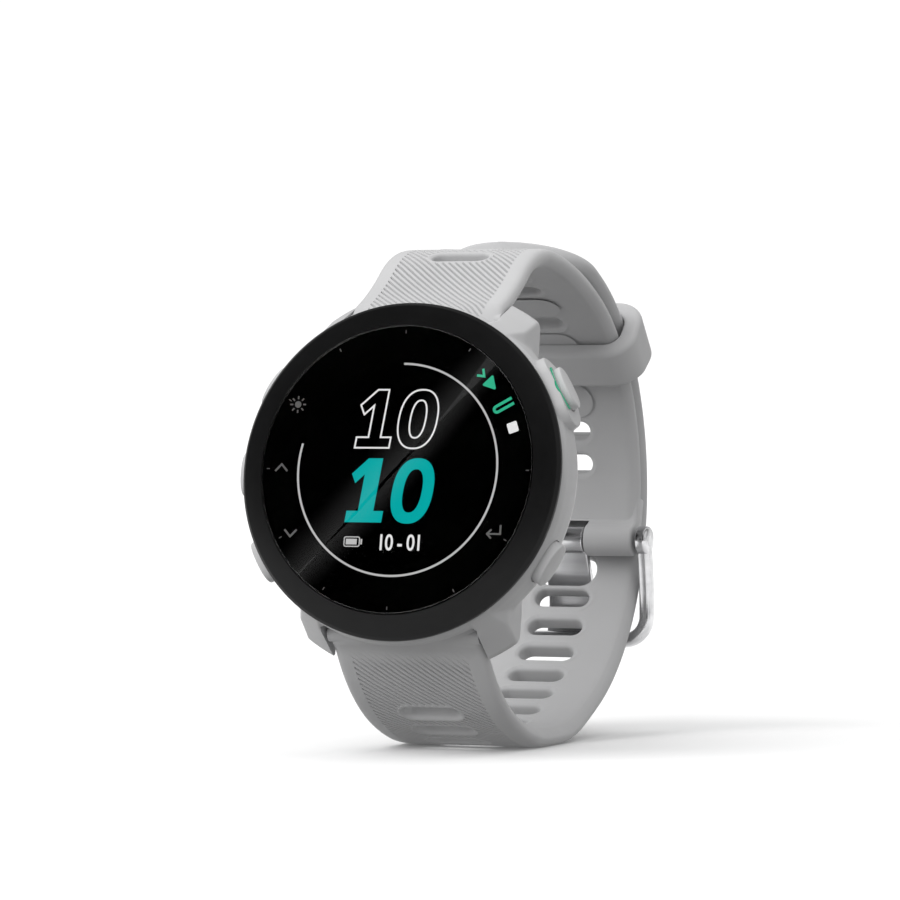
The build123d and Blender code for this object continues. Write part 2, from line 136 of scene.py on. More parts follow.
def at_clock(points, clock):
    """Swing face-frame rows drawn towards 12 o'clock round the dial to a clock angle."""
    x, depth, up = np.asarray(points, float).T
    turn = radians(clock)
    return np.stack([x * cos(turn) + up * sin(turn), depth, up * cos(turn) - x * sin(turn)], axis=1)


# ------------------------------------------------------------------ outlines
def arc(centre, radius, start, end, steps):
    """Points on a circle, with both ends, angles in degrees."""
    angles = np.radians(np.linspace(start, end, steps + 1))
    return [(centre[0] + radius * cos(a), centre[1] + radius * sin(a)) for a in angles]


def rounded(outline, radius, steps=4):
    """Round the corners of a closed outline; radius is one number or one per corner."""
    count = len(outline)
    radii = [radius] * count if isinstance(radius, (int, float)) else radius
    points = []
    for k in range(count):
        before, corner, after = (Vector(outline[(k + j) % count]) for j in (-1, 0, 1))
        towards = [before - corner, after - corner]
        room = 0.48 * min(side.length for side in towards)
        to_before, to_after = (side.normalized() for side in towards)
        opening = to_before.angle(to_after)
        if radii[k] <= 0 or opening > pi - 0.02:
            points.append(tuple(corner))
            continue
        reach = min(radii[k] / tan(opening / 2), room)
        size = reach * tan(opening / 2)
        centre = corner + (to_before + to_after).normalized() * (size / sin(opening / 2))
        first = corner + to_before * reach - centre
        last = corner + to_after * reach - centre
        sweep = pi - opening
        for j in range(steps + 1):
            t = j / steps
            spoke = (first * sin((1 - t) * sweep) + last * sin(t * sweep)) / sin(sweep)
            points.append(tuple(centre + spoke))
    return points


def pill_outline(length, width, steps=12):
    """A bar with round ends, long in its first coordinate."""
    half = (length - width) / 2
    return arc((half, 0), width / 2, -90, 90, steps) + arc((-half, 0), width / 2, 90, 270, steps)


def smooth_step(low, high, value):
    t = np.clip((np.asarray(value, float) - low) / (high - low), 0, 1)
    return t * t * (3 - 2 * t)


def smooth_max(a, b, softness):
    return (a + b + np.sqrt((a - b) ** 2 + softness ** 2)) / 2


def smooth_min(a, b, softness):
    return (a + b - np.sqrt((a - b) ** 2 + softness ** 2)) / 2


# ------------------------------------------------------------------ meshes
def grid_faces(rows, columns, wrap_rows=False, wrap_columns=False):
    """Four-sided faces over points stored row by row."""
    r = np.arange(rows if wrap_rows else rows - 1)[:, None]
    c = np.arange(columns if wrap_columns else columns - 1)[None, :]
    next_r, next_c = (r + 1) % rows, (c + 1) % columns
    corners = [r * columns + c, r * columns + next_c, next_r * columns + next_c, next_r * columns + c]
    return np.stack(corners, axis=-1).reshape(-1, 4).tolist()


def loft(rings):
    """A closed skin over rings of equally many points, with a cap at each end."""
    rows, columns = len(rings), len(rings[0])
    faces = grid_faces(rows, columns, wrap_columns=True)
    faces.append(list(range(columns)))
    faces.append([(rows - 1) * columns + k for k in reversed(range(columns))])
    return np.concatenate([np.asarray(ring, float) for ring in rings]), faces


def turned(outline, steps=360):
    """A closed (radius, depth) outline turned about the dial axis, in the face frame."""
    radius, depth = np.asarray(outline, float).T
    turns = np.linspace(0, 2 * pi, steps, endpoint=False)
    rings = [np.stack([radius * sin(a), depth, radius * cos(a)], axis=1) for a in turns]
    return np.concatenate(rings), grid_faces(steps, len(outline), True, True)


def joined(*shells):
    """Several (points, faces) shells as one."""
    points, faces, first = [], [], 0
    for shell_points, shell_faces in shells:
        points.append(np.asarray(shell_points, float))
        faces.extend([[first + index for index in face] for face in shell_faces])
        first += len(shell_points)
    return np.concatenate(points), faces


def draft(name, points, faces):
    """An object from points in millimetres, cleaned and facing outwards."""
    mesh = bpy.data.meshes.new(name)
    mesh.from_pydata((np.asarray(points) * MM).tolist(), [], faces)
    work = bmesh.new()
    work.from_mesh(mesh)
    bmesh.ops.remove_doubles(work, verts=work.verts, dist=2e-7)
    bmesh.ops.recalc_face_normals(work, faces=work.faces)
    work.to_mesh(mesh)
    work.free()
    piece = bpy.data.objects.new(name, mesh)
    bpy.context.scene.collection.objects.link(piece)
    return piece


def apply_modifiers(piece):
    bpy.context.view_layer.update()
    evaluated = piece.evaluated_get(bpy.context.evaluated_depsgraph_get())
    mesh = bpy.data.meshes.new_from_object(evaluated)
    piece.modifiers.clear()
    piece.data = mesh


def carve(piece, cutter, operation="DIFFERENCE"):
    """Cut a draft out of a piece, or melt it into the piece, and throw the draft away."""
    modifier = piece.modifiers.new("carve", "BOOLEAN")
    modifier.operation = operation
    modifier.solver = "EXACT"
    modifier.object = cutter
    apply_modifiers(piece)
    bpy.data.objects.remove(cutter)


def soften(piece, width, segments=3, angle=50):
    """A small rounded edge, width in millimetres, on every edge sharper than the angle."""
    modifier = piece.modifiers.new("soften", "BEVEL")
    modifier.width = width * MM
    modifier.segments = segments
    modifier.limit_method = "ANGLE"
    modifier.angle_limit = radians(angle)
    apply_modifiers(piece)


def dress(piece, material, body="case", replaces=(), sharp=SMOOTH_UNDER):
    """Give a finished piece its material, smooth shading, body and stand-in."""
    piece.data.materials.clear()
    piece.data.materials.append(material)
    piece.data.polygons.foreach_set("use_smooth", [True] * len(piece.data.polygons))
    piece.data.set_sharp_from_angle(angle=sharp)
    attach(piece, body)
    if replaces:
        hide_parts(*replaces)
    return piece


# ------------------------------------------------------------------ materials
def principled(name, colour, roughness, **sockets):
    material = bpy.data.materials.new(name)
    material.use_nodes = True
    shader = material.node_tree.nodes["Principled BSDF"]
    shader.inputs["Base Color"].default_value = (*colour, 1)
    shader.inputs["Roughness"].default_value = roughness
    for socket, value in sockets.items():
        shader.inputs[socket.replace("_", " ")].default_value = value
    return material


def add_node(material, kind, **settings):
    node = material.node_tree.nodes.new(kind)
    for key, value in settings.items():
        setattr(node, key, value)
    return node


def shader_of(material):
    return material.node_tree.nodes["Principled BSDF"]


def link(material, output, target):
    material.node_tree.links.new(output, target)


def noise(material, scale, detail=2.0, stretch=(1, 1, 1), vector=None):
    """A noise texture in the object's own coordinates, with features of about 1/scale metres."""
    if vector is None:
        vector = add_node(material, "ShaderNodeTexCoord").outputs["Object"]
    mapping = add_node(material, "ShaderNodeMapping")
    mapping.inputs["Scale"].default_value = stretch
    texture = add_node(material, "ShaderNodeTexNoise")
    texture.inputs["Scale"].default_value = scale
    texture.inputs["Detail"].default_value = detail
    link(material, vector, mapping.inputs["Vector"])
    link(material, mapping.outputs["Vector"], texture.inputs["Vector"])
    return texture.outputs["Fac"]


def mottle(material, low, high, scale, detail=3.0, **where):
    """Base colour that drifts between two colours."""
    ramp = add_node(material, "ShaderNodeValToRGB")
    ramp.color_ramp.elements[0].position = 0.3
    ramp.color_ramp.elements[1].position = 0.7
    ramp.color_ramp.elements[0].color = (*low, 1)
    ramp.color_ramp.elements[1].color = (*high, 1)
    link(material, noise(material, scale, detail, **where), ramp.inputs["Fac"])
    link(material, ramp.outputs["Color"], shader_of(material).inputs["Base Color"])


def roughen(material, low, high, scale, detail=3.0, **where):
    """Roughness that drifts between two values."""
    spread = add_node(material, "ShaderNodeMapRange")
    spread.inputs["From Min"].default_value = 0.3
    spread.inputs["From Max"].default_value = 0.7
    spread.inputs["To Min"].default_value = low
    spread.inputs["To Max"].default_value = high
    link(material, noise(material, scale, detail, **where), spread.inputs["Value"])
    link(material, spread.outputs["Result"], shader_of(material).inputs["Roughness"])


def grain(material, scale, height, detail=2.0, **where):
    """A fine surface texture, height in metres."""
    bump = add_node(material, "ShaderNodeBump")
    bump.inputs["Distance"].default_value = height
    link(material, noise(material, scale, detail, **where), bump.inputs["Height"])
    link(material, bump.outputs["Normal"], shader_of(material).inputs["Normal"])


def dial_rings(material):
    """Coordinates that change fast across the dial's radius and slowly round it."""
    place = add_node(material, "ShaderNodeTexCoord").outputs["Object"]
    centred = add_node(material, "ShaderNodeVectorMath", operation="SUBTRACT")
    centred.inputs[1].default_value = dial * MM
    upright = add_node(material, "ShaderNodeVectorRotate", rotation_type="X_AXIS")
    upright.inputs["Angle"].default_value = LEAN
    apart = add_node(material, "ShaderNodeSeparateXYZ")
    angle = add_node(material, "ShaderNodeMath", operation="ARCTAN2")
    across = add_node(material, "ShaderNodeMath", operation="MULTIPLY")
    up = add_node(material, "ShaderNodeMath", operation="MULTIPLY")
    total = add_node(material, "ShaderNodeMath", operation="ADD")
    radius = add_node(material, "ShaderNodeMath", operation="SQRT")
    combined = add_node(material, "ShaderNodeCombineXYZ")
    slow = add_node(material, "ShaderNodeMath", operation="MULTIPLY")
    slow.inputs[1].default_value = 0.0012
    link(material, place, centred.inputs[0])
    link(material, centred.outputs["Vector"], upright.inputs["Vector"])
    link(material, upright.outputs["Vector"], apart.inputs["Vector"])
    for axis, square in (("X", across), ("Z", up)):
        link(material, apart.outputs[axis], square.inputs[0])
        link(material, apart.outputs[axis], square.inputs[1])
    link(material, across.outputs[0], total.inputs[0])
    link(material, up.outputs[0], total.inputs[1])
    link(material, total.outputs[0], radius.inputs[0])
    link(material, apart.outputs["X"], angle.inputs[0])
    link(material, apart.outputs["Z"], angle.inputs[1])
    link(material, angle.outputs[0], slow.inputs[0])
    link(material, radius.outputs[0], combined.inputs["X"])
    link(material, slow.outputs[0], combined.inputs["Y"])
    link(material, apart.outputs["Y"], combined.inputs["Z"])
    return combined.outputs["Vector"]


def white_moulding(name, low, high, roughness, texture_scale, height, sheen=0.0):
    material = principled(name, low, roughness, Specular_IOR_Level=0.4)
    shader_of(material).inputs["Sheen Weight"].default_value = sheen
    mottle(material, low, high, 90)
    roughen(material, roughness - 0.06, roughness + 0.06, 700)
    grain(material, texture_scale, height)
    return material


def metal(name, low, high, rough_low, rough_high, stretch=(1, 1, 1), scale=2500, height=2e-6):
    material = principled(name, low, rough_low, Metallic=1.0)
    mottle(material, low, high, scale / 3, stretch=stretch)
    roughen(material, rough_low, rough_high, scale / 2, stretch=stretch)
    grain(material, scale, height, stretch=stretch)
    return material


def dark_plastic(name, low, high, roughness, scale=3000, height=4e-6, **sockets):
    material = principled(name, low, roughness, **sockets)
    mottle(material, low, high, 200)
    roughen(material, roughness - 0.05, roughness + 0.05, 600)
    grain(material, scale, height)
    return material


def painted_pixel_glow(name, colour, strength):
    """Pixels of the display with a painted glow in place of the light the panel reflects, a little uneven
    like a real panel.
    """
    material = principled(name, (0.002, 0.002, 0.002), 0.9, Specular_IOR_Level=0.0)
    shader = shader_of(material)
    ramp = add_node(material, "ShaderNodeValToRGB")
    ramp.color_ramp.elements[0].color = (*(0.94 * part for part in colour), 1)
    ramp.color_ramp.elements[1].color = (*colour, 1)
    link(material, noise(material, 4000), ramp.inputs["Fac"])
    # painted glow: the pixels emit their colour rather than reflect light
    link(material, ramp.outputs["Color"], shader.inputs["Emission Color"])
    shader.inputs["Emission Strength"].default_value = strength
    return material


def make_finishes():
    """One procedural material for each material slot of the record."""
    made = [
        white_moulding("case_polymer", (0.50, 0.50, 0.505), (0.525, 0.525, 0.53), 0.42, 5000, 3e-6),
        white_moulding("button_polymer", (0.52, 0.52, 0.525), (0.545, 0.545, 0.55), 0.36, 5000, 2e-6),
        white_moulding("silicone", (0.49, 0.49, 0.495), (0.52, 0.52, 0.525), 0.55, 6500, 6e-6, 0.1),
        white_moulding("cover_polymer", (0.46, 0.46, 0.465), (0.49, 0.49, 0.495), 0.45, 4500, 4e-6),
        white_moulding("foam", (0.05, 0.05, 0.055), (0.09, 0.09, 0.095), 0.95, 2500, 6e-5),
        white_moulding("light_guide", (0.75, 0.77, 0.78), (0.82, 0.83, 0.85), 0.3, 3000, 2e-6),
        metal("steel", (0.62, 0.62, 0.63), (0.74, 0.74, 0.75), 0.16, 0.28, (0.05, 1, 1)),
        metal("spring_steel", (0.5, 0.5, 0.51), (0.62, 0.62, 0.63), 0.25, 0.4),
        metal("inner_frame", (0.35, 0.36, 0.38), (0.45, 0.46, 0.48), 0.35, 0.5),
        metal("copper", (0.75, 0.38, 0.22), (0.86, 0.48, 0.3), 0.25, 0.4),
        metal("cell_foil", (0.55, 0.56, 0.58), (0.68, 0.69, 0.7), 0.3, 0.5, scale=600, height=4e-5),
        metal("bushing_brass", (0.68, 0.5, 0.24), (0.8, 0.62, 0.32), 0.25, 0.4),
        metal("contact_gold", (0.9, 0.66, 0.28), (0.98, 0.76, 0.38), 0.18, 0.3),
        dark_plastic("seal_rubber", (0.012, 0.012, 0.013), (0.02, 0.02, 0.021), 0.8),
        dark_plastic("chip", (0.014, 0.014, 0.016), (0.03, 0.03, 0.032), 0.5),
        dark_plastic("board", (0.006, 0.05, 0.03), (0.012, 0.085, 0.05), 0.4, scale=1200),
        dark_plastic("window_glass", (0.006, 0.006, 0.008), (0.012, 0.012, 0.014), 0.12, Coat_Weight=1.0),
        dark_plastic("lamp", (0.02, 0.16, 0.05), (0.03, 0.3, 0.08), 0.25, Coat_Weight=0.6),
        dark_plastic("mask_ink", (0.0012, 0.0012, 0.0013), (0.002, 0.002, 0.0021), 0.9,
                     Specular_IOR_Level=0.0),
        dark_plastic("display_glass", (0.0008, 0.0008, 0.0009), (0.0014, 0.0014, 0.0015), 0.9,
                     Specular_IOR_Level=0.0),
        dark_plastic("accent_green", (0.0, 0.34, 0.17), (0.0, 0.4, 0.21), 0.2,
                     Coat_Weight=0.8, height=1e-6),
    ]
    bezel = principled("bezel_polymer", (0.005, 0.005, 0.0052), 0.36, Specular_IOR_Level=0.2)
    mottle(bezel, (0.0045, 0.0045, 0.0047), (0.006, 0.006, 0.0062), 300)
    roughen(bezel, 0.3, 0.42, 6000, vector=dial_rings(bezel))
    grain(bezel, 9000, 5e-6, vector=dial_rings(bezel))
    glass = principled("lens_glass", (1, 1, 1), 0.0, IOR=1.5, Transmission_Weight=1.0)
    mottle(glass, (0.985, 0.99, 0.99), (1, 1, 1), 60)
    return {material.name: material for material in made + [bezel, glass]}


for packed in list(bpy.data.materials):
    packed.name = "packed_" + packed.name
finish = make_finishes()
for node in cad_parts.values():
    for slot in node.material_slots:
        slot.material = finish[slot.material.name.removeprefix("packed_")]


# ------------------------------------------------------------------ bezel, glass and cover
def make_bezel():
    corners = [
        (GLASS_RADIUS + 0.05, 0.05), (20.4, 1.2), (BEZEL_RADIUS, 1.6), (BEZEL_RADIUS, 2.1),
        (20.6, 2.3), (16.6, 2.3), (16.6, SEAT_DEPTH), (GLASS_RADIUS + 0.05, SEAT_DEPTH),
    ]
    radii = [0.1, 0.45, 0.3, 0.15, 0.1, 0.05, 0.05, 0.05]
    points, faces = turned(rounded(corners, radii, 5), 720)
    dress(draft("bezel_ring", from_face(points), faces), finish["bezel_polymer"], replaces=["bezel"])


def make_glass():
    corners = [(0, 0), (GLASS_RADIUS - 0.02, 0), (GLASS_RADIUS, GLASS_BACK), (0, GLASS_BACK)]
    outline = rounded(corners, [0, 0.15, 0.05, 0], 6)
    points, faces = turned(outline, 720)
    dress(draft("lens_disc", from_face(points), faces), finish["lens_glass"], replaces=["lens"])


def make_mask():
    outline = [(13.3, 0.67), (17.6, 0.67), (17.6, 0.7), (13.3, 0.7)]
    points, faces = turned(outline, 360)
    dress(draft("mask_ring", from_face(points), faces), finish["mask_ink"], replaces=["dial_mask"])


# ------------------------------------------------------------------ case
def even_steps(corners, count):
    """The corners of an open outline with count steps along each side."""
    points = []
    for (a, b), (c, d) in zip(corners, corners[1:]):
        for k in range(count):
            t = k / count
            points.append((a + (c - a) * t, b + (d - b) * t))
    return np.array(points + [corners[-1]])


def shoulder_edge(along, depth):
    """How far a point lies outside the top of the start button's shoulder."""
    return np.hypot(np.maximum(np.abs(along) - 2.1, 0), depth - 5.3) - 2.7


def shoulder_level(edge):
    return 19.6 + 2.4 * smooth_step(0.62, -0.15, edge)


def case_surface():
    """The case wall as a grid: the round body, the four lugs and the start button's shoulder."""
    round_body = even_steps([
        (CAVITY_RADIUS, 2.3), (20.35, 2.3), (20.6, 2.45), (21.0, 3.2), (21.12, 4.8), (21.1, 6.4),
        (20.5, 8.2), (20.1, 8.85), (19.9, 9.0), (19.4, 9.0), (19.4, 9.0), (CAVITY_RADIUS, 9.0),
    ], 6)
    lug_body = even_steps([
        (CAVITY_RADIUS, 2.3), (20.35, 2.3), (20.7, 2.5), (21.1, 3.2), (22.1, 5.0), (23.1, 7.0),
        (24.05, 8.8), (24.1, 9.2), (23.8, 9.55), (19.4, 9.6), (19.4, 9.0), (CAVITY_RADIUS, 9.0),
    ], 6)
    clocks = np.linspace(0, 2 * pi, CASE_STEPS, endpoint=False)
    base_radius, base_depth = round_body[:, 0][None], round_body[:, 1][None]
    lug_radius, lug_depth = lug_body[:, 0][None], lug_body[:, 1][None]
    x_share = np.abs(np.sin(clocks))[:, None]
    lug_from = np.interp(lug_depth, [4.45, 4.65], [0.457, 0.36])
    inner = smooth_step(0, 1, (x_share - lug_from) / 0.025)
    side_wall = np.interp(lug_depth, [2.3, 3.2, 5.6, 9.6], [12.1, 12.4, 13.6, 13.9])
    walled = smooth_min(lug_radius, side_wall / np.maximum(x_share, 0.05), 0.25)
    flared = base_radius + (smooth_max(base_radius, walled, 0.3) - base_radius) * inner
    outside = base_radius > CAVITY_RADIUS + 0.5
    radius = np.where(outside & (lug_radius > base_radius + 0.02), flared, base_radius + 0 * x_share)
    share = np.clip((radius - base_radius) / np.maximum(lug_radius - base_radius, 0.4), 0, 1)
    is_lug = smooth_step(15.4, 13.9, 21.5 * x_share) * inner
    depth = base_depth + (lug_depth - base_depth) * np.maximum(share, is_lug)
    start = radians(BUTTON_CLOCKS["start"])
    along = np.arcsin(np.clip(np.sin(clocks - start), -1, 1))[:, None] * 21.5
    facing = (np.cos(clocks - start) > 0)[:, None]
    edge = shoulder_edge(along, depth)
    shoulder = shoulder_level(edge)
    raised = smooth_max(radius, np.where(facing & outside, shoulder, 0), 0.12)
    radius = np.where(facing & outside & (edge < 1.5), raised, radius)
    x = radius * np.sin(clocks)[:, None]
    up = radius * np.cos(clocks)[:, None]
    points = np.stack([x, depth + 0 * x, up], axis=-1).reshape(-1, 3)
    return points, grid_faces(CASE_STEPS, round_body.shape[0], True, True)


def box_shell(x_range, depth_range, up_range):
    """A box for cutting, in the face frame."""
    rings = []
    for depth in depth_range:
        (x0, x1), (u0, u1) = x_range, up_range
        rings.append([(x0, depth, u0), (x1, depth, u0), (x1, depth, u1), (x0, depth, u1)])
    return loft(rings)


def button_outline(length, width, power=2.25, steps=96):
    """The even, full oval of a button."""
    outline = []
    for k in range(steps):
        c, s = cos(2 * pi * k / steps), sin(2 * pi * k / steps)
        a = length / 2 * abs(c) ** (2 / power) * (1 if c >= 0 else -1)
        b = width / 2 * abs(s) ** (2 / power) * (1 if s >= 0 else -1)
        outline.append((a, b))
    return outline


def pocket_shell(inner, outer):
    outline = button_outline(CAP_LENGTH + 0.24, CAP_WIDTH + 0.24)
    return loft([[(a, BUTTON_DEPTH + b, level) for a, b in outline] for level in (inner, outer)])


def accent_shell(gap):
    """The crescent with round ends in front of the start button."""
    middle_depth, half_angle = 7.07, radians(43)
    rings = []
    for t in np.linspace(-1, 1, 49):
        outer, inner = 4.42 + gap, 3.9 + 0.12 * t * t - gap
        end_distance = (1 - abs(t)) * half_angle * outer
        size = sqrt(max(0.03, 1 - max(0.0, 1 - end_distance / 0.28) ** 2))
        centre, half = (outer + inner) / 2, (outer - inner) / 2 * size
        turn = t * (half_angle + gap / outer)
        tops = []
        for r in (centre + half, centre - half):
            edge = shoulder_edge(r * sin(turn), middle_depth - r * cos(turn))
            tops.append((r, max(21.0, float(shoulder_level(edge))) + 0.04 + 3 * gap))
        corners = [(centre - half, 20.6), (centre + half, 20.6)] + tops
        section = np.array(rounded(corners, [0.02, 0.02, 0.09 * size, 0.09 * size], 4))
        rings.append([(r * sin(turn), middle_depth - r * cos(turn), level) for r, level in section])
    return loft(rings)


def make_case():
    case = draft("case_shell", *as_world(case_surface()))
    cuts = []
    for side in (-1, 1):
        reach = sorted((side * 17.2, side * 26))
        cuts.append(box_shell((-LUG_INNER, LUG_INNER), (FLANGE_BACK, 10.5), reach))
    carve(case, draft("cut", *as_world(joined(*cuts))))
    pockets = []
    for clock in BUTTON_CLOCKS.values():
        points, faces = pocket_shell(19.1, 24)
        pockets.append((at_clock(points, clock), faces))
    carve(case, draft("cut", *as_world(joined(*pockets))))
    points, faces = accent_shell(0.03)
    carve(case, draft("cut", from_face(at_clock(points, BUTTON_CLOCKS["start"])), faces))
    dress(case, finish["case_polymer"], replaces=["case_body"])
    points, faces = accent_shell(0.0)
    accent = draft("accent_bar", from_face(at_clock(points, BUTTON_CLOCKS["start"])), faces)
    dress(accent, finish["accent_green"], replaces=["start_accent"])


def as_world(shell):
    points, faces = shell
    return from_face(points), faces


def make_button(name):
    """A nearly flat cap with a crisp rounded rim on a round stem."""
    reach, rim = BUTTON_REACH[name], 0.24
    outline = np.array(button_outline(CAP_LENGTH, CAP_WIDTH))
    rings = []
    levels = [(CAP_UNDERSIDE, 0.12), (CAP_UNDERSIDE + 0.12, 0.0), (reach - 0.1 - rim, 0.0)]
    for k in range(1, 7):
        turn = radians(14 * k)
        levels.append((reach - 0.1 - rim * (1 - sin(turn)), rim * (1 - cos(turn))))
    levels += [(reach - 0.06, 0.6), (reach - 0.025, 1.1), (reach, 1.68)]
    for level, inset in levels:
        scale = np.array([1 - 2 * inset / CAP_LENGTH, 1 - 2 * inset / CAP_WIDTH])
        a, b = (outline * scale).T
        rings.append(np.stack([a, BUTTON_DEPTH + b, np.full(len(a), level)], axis=1))
    stem_rings = []
    for level, radius in ((14.8, 0.6), (14.9, 0.7), (15.3, 0.7), (15.3, 0.5), (15.6, 0.5), (15.6, 0.7),
                          (CAP_UNDERSIDE + 0.2, 0.7)):
        stem_rings.append([(a, BUTTON_DEPTH + b, level) for a, b in arc((0, 0), radius, 0, 345, 23)])
    points, faces = joined(loft(rings), loft(stem_rings))
    piece = draft(f"cap_{name}", from_face(at_clock(points, BUTTON_CLOCKS[name])), faces)
    dress(piece, finish["button_polymer"], body=f"{name}_button", replaces=[f"button_{name}"])


# ------------------------------------------------------------------ dial graphics
INK_DEPTH = (0.62, 0.65)
PIXEL_DEPTH = (0.73, 0.77)


def plate(outline, depths):
    """A flat (x, up) outline as a thin closed plate."""
    count = len(outline)
    front = [(x, depths[0], up) for x, up in outline]
    back = [(x, depths[1], up) for x, up in outline]
    triangles = tessellate_polygon([[Vector((x, up, 0)) for x, up in outline]])
    faces = [list(t) for t in triangles]
    faces += [[count + k for k in reversed(t)] for t in triangles]
    faces += [[k, (k + 1) % count, count + (k + 1) % count, count + k] for k in range(count)]
    return np.array(front + back), faces


def stroke(path, width, depths, closed=False):
    """A line of even width along a flat (x, up) path, as a thin closed plate."""
    path = [Vector(p) for p in path]
    count = len(path)
    left, right = [], []
    for k in range(count):
        before = path[k - 1] if closed or k else path[0] * 2 - path[1]
        after = path[(k + 1) % count] if closed or k < count - 1 else path[-1] * 2 - path[-2]
        a, b = (path[k] - before).normalized(), (after - path[k]).normalized()
        normal = Vector((-(a + b).y, (a + b).x)).normalized()
        reach = width / 2 / max(0.35, normal.dot(Vector((-a.y, a.x))))
        left.append(path[k] + normal * reach)
        right.append(path[k] - normal * reach)
    rings = []
    for k in range(count):
        (lx, lu), (rx, ru) = left[k], right[k]
        rings.append([(lx, depths[0], lu), (rx, depths[0], ru), (rx, depths[1], ru), (lx, depths[1], lu)])
    if closed:
        return np.array(rings).reshape(-1, 3), grid_faces(count, 4, True, True)
    return loft(rings)


def ring_plate(outer, inner, depths):
    """The area between two closed paths of equally many points."""
    rings = []
    for (ox, ou), (ix, iu) in zip(outer, inner):
        rings.append([(ox, depths[0], ou), (ix, depths[0], iu), (ix, depths[1], iu), (ox, depths[1], ou)])
    return np.array(rings).reshape(-1, 3), grid_faces(len(rings), 4, True, True)


SLANT = 0.128


def slanted(points, left, base):
    """Lean figure points, drawn from their lower left corner, and put them in place."""
    return [(left + x + SLANT * up, base + up) for x, up in points]


def figure_one(stem, height, foot_width, foot):
    """Outline of a 1 with a flag and a foot; stem is the width of its strokes."""
    left, right = (foot_width - stem) / 2 + 0.1, (foot_width + stem) / 2 + 0.1
    return [
        (0, 0), (foot_width, 0), (foot_width, foot), (right, foot), (right, height), (left + 0.15, height),
        (-0.2, height - 1.9), (0.45, height - 3.05), (left, height - 1.95), (left, foot), (0, foot),
    ]


def figure_zero(width, height, power=2.35, steps=72):
    """A closed super-ellipse, drawn from its lower left corner."""
    points = []
    for k in range(steps):
        turn = 2 * pi * k / steps
        c, s = cos(turn), sin(turn)
        x = abs(c) ** (2 / power) * (1 if c >= 0 else -1)
        up = abs(s) ** (2 / power) * (1 if s >= 0 else -1)
        points.append((width / 2 * (1 + x), height / 2 * (1 + up)))
    return points


def shifted(points, dx, dup):
    return [(x + dx, up + dup) for x, up in points]


def graphic(name, shells, material):
    """Plates on the dial as one piece."""
    piece = draft(name, *as_world(joined(*shells)))
    piece.data.materials.append(material)
    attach(piece, "case")


def turned_to(points, clock, distance):
    """Small icon points, drawn upright about (0, 0), moved out to a clock angle."""
    a = radians(clock)
    cx, cu = distance * sin(a), distance * cos(a)
    return [(cx + x, cu + up) for x, up in points]


def spun(points, degrees_clockwise):
    a = radians(degrees_clockwise)
    return [(x * cos(a) + up * sin(a), up * cos(a) - x * sin(a)) for x, up in points]


def make_display():
    # the display's figures, arc, icon and date all get a painted glow
    white = painted_pixel_glow("pixel_white", (0.86, 0.86, 0.86), 1.0)
    grey = painted_pixel_glow("pixel_grey", (0.55, 0.55, 0.55), 1.0)
    teal = painted_pixel_glow("pixel_teal", (0.002, 0.42, 0.41), 1.0)
    line = 0.2
    hour_one = slanted(figure_one(1.6, 7.15, 4.5, 1.3), -5.75, 2.65)
    zero = slanted(figure_zero(5.0, 7.2), -0.65, 2.6)
    zero_hole = slanted(shifted(figure_zero(2.0, 4.6), 1.5, 1.3), -0.65, 2.6)
    graphic("hour_figures", [
        stroke(path, line, PIXEL_DEPTH, closed=True) for path in (hour_one, zero, zero_hole)
    ], white)
    minute_one = slanted(figure_one(2.0, 7.85, 4.8, 1.4), -6.4, -6.5)
    outer = slanted(figure_zero(5.35, 8.0), -0.95, -6.6)
    inner = slanted(shifted(figure_zero(2.45, 5.3), 1.45, 1.35), -0.95, -6.6)
    graphic("minute_figures", [plate(minute_one, PIXEL_DEPTH), ring_plate(outer, inner, PIXEL_DEPTH)], teal)
    sweep = [(13.0 * sin(a), 13.0 * cos(a)) for a in np.radians(np.linspace(0, 284, 143))]
    case_outline = rounded([(-6.25, -9.45), (-4.25, -9.45), (-4.25, -8.3), (-6.25, -8.3)], 0.2, 3)
    nub = [(-4.1, -9.2), (-3.9, -9.2), (-3.9, -8.55), (-4.1, -8.55)]
    fill = [(-6.02, -9.22), (-4.6, -9.22), (-4.6, -8.53), (-6.02, -8.53)]
    graphic("activity_arc", [stroke(sweep, 0.25, PIXEL_DEPTH)], grey)
    graphic("charge_icon", [
        stroke(case_outline, 0.12, PIXEL_DEPTH, closed=True),
        plate(nub, PIXEL_DEPTH),
        plate(fill, PIXEL_DEPTH),
    ], grey)
    make_date(white)


def make_date(material):
    """Day and month as plain numerals."""
    text = bpy.data.curves.new("date_figures", "FONT")
    text.body = "10 - 01"
    text.size = 2.75 * MM
    text.extrude = 0.02 * MM
    text.offset = 0.03 * MM
    text.space_character = 0.95
    text.align_x = "CENTER"
    piece = bpy.data.objects.new("date_figures", text)
    bpy.context.scene.collection.objects.link(piece)
    place = from_face([(1.05, PIXEL_DEPTH[0], -9.85)])[0]
    piece.scale = (0.8, 1, 1)
    piece.rotation_euler = (pi / 2 - LEAN, 0, 0)
    piece.location = Vector(place) * MM
    bpy.context.view_layer.update()
    mesh = bpy.data.meshes.new_from_object(piece)
    mesh.transform(piece.matrix_world)
    bpy.data.objects.remove(piece)
    mesh.materials.clear()
    mesh.materials.append(material)
    shown = bpy.data.objects.new("date_numerals", mesh)
    bpy.context.scene.collection.objects.link(shown)
    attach(shown, "case")


def printed(name, colour, glow):
    """Ink printed under the glass, with a painted glow added so that it reads through it."""
    material = principled(name, colour, 0.7, Specular_IOR_Level=0.1)
    mottle(material, tuple(0.9 * part for part in colour), colour, 3000)
    shader = shader_of(material)
    # painted glow: the ink emits its own colour on top of the light it reflects
    shader.inputs["Emission Color"].default_value = (*colour, 1)
    shader.inputs["Emission Strength"].default_value = glow
    return material


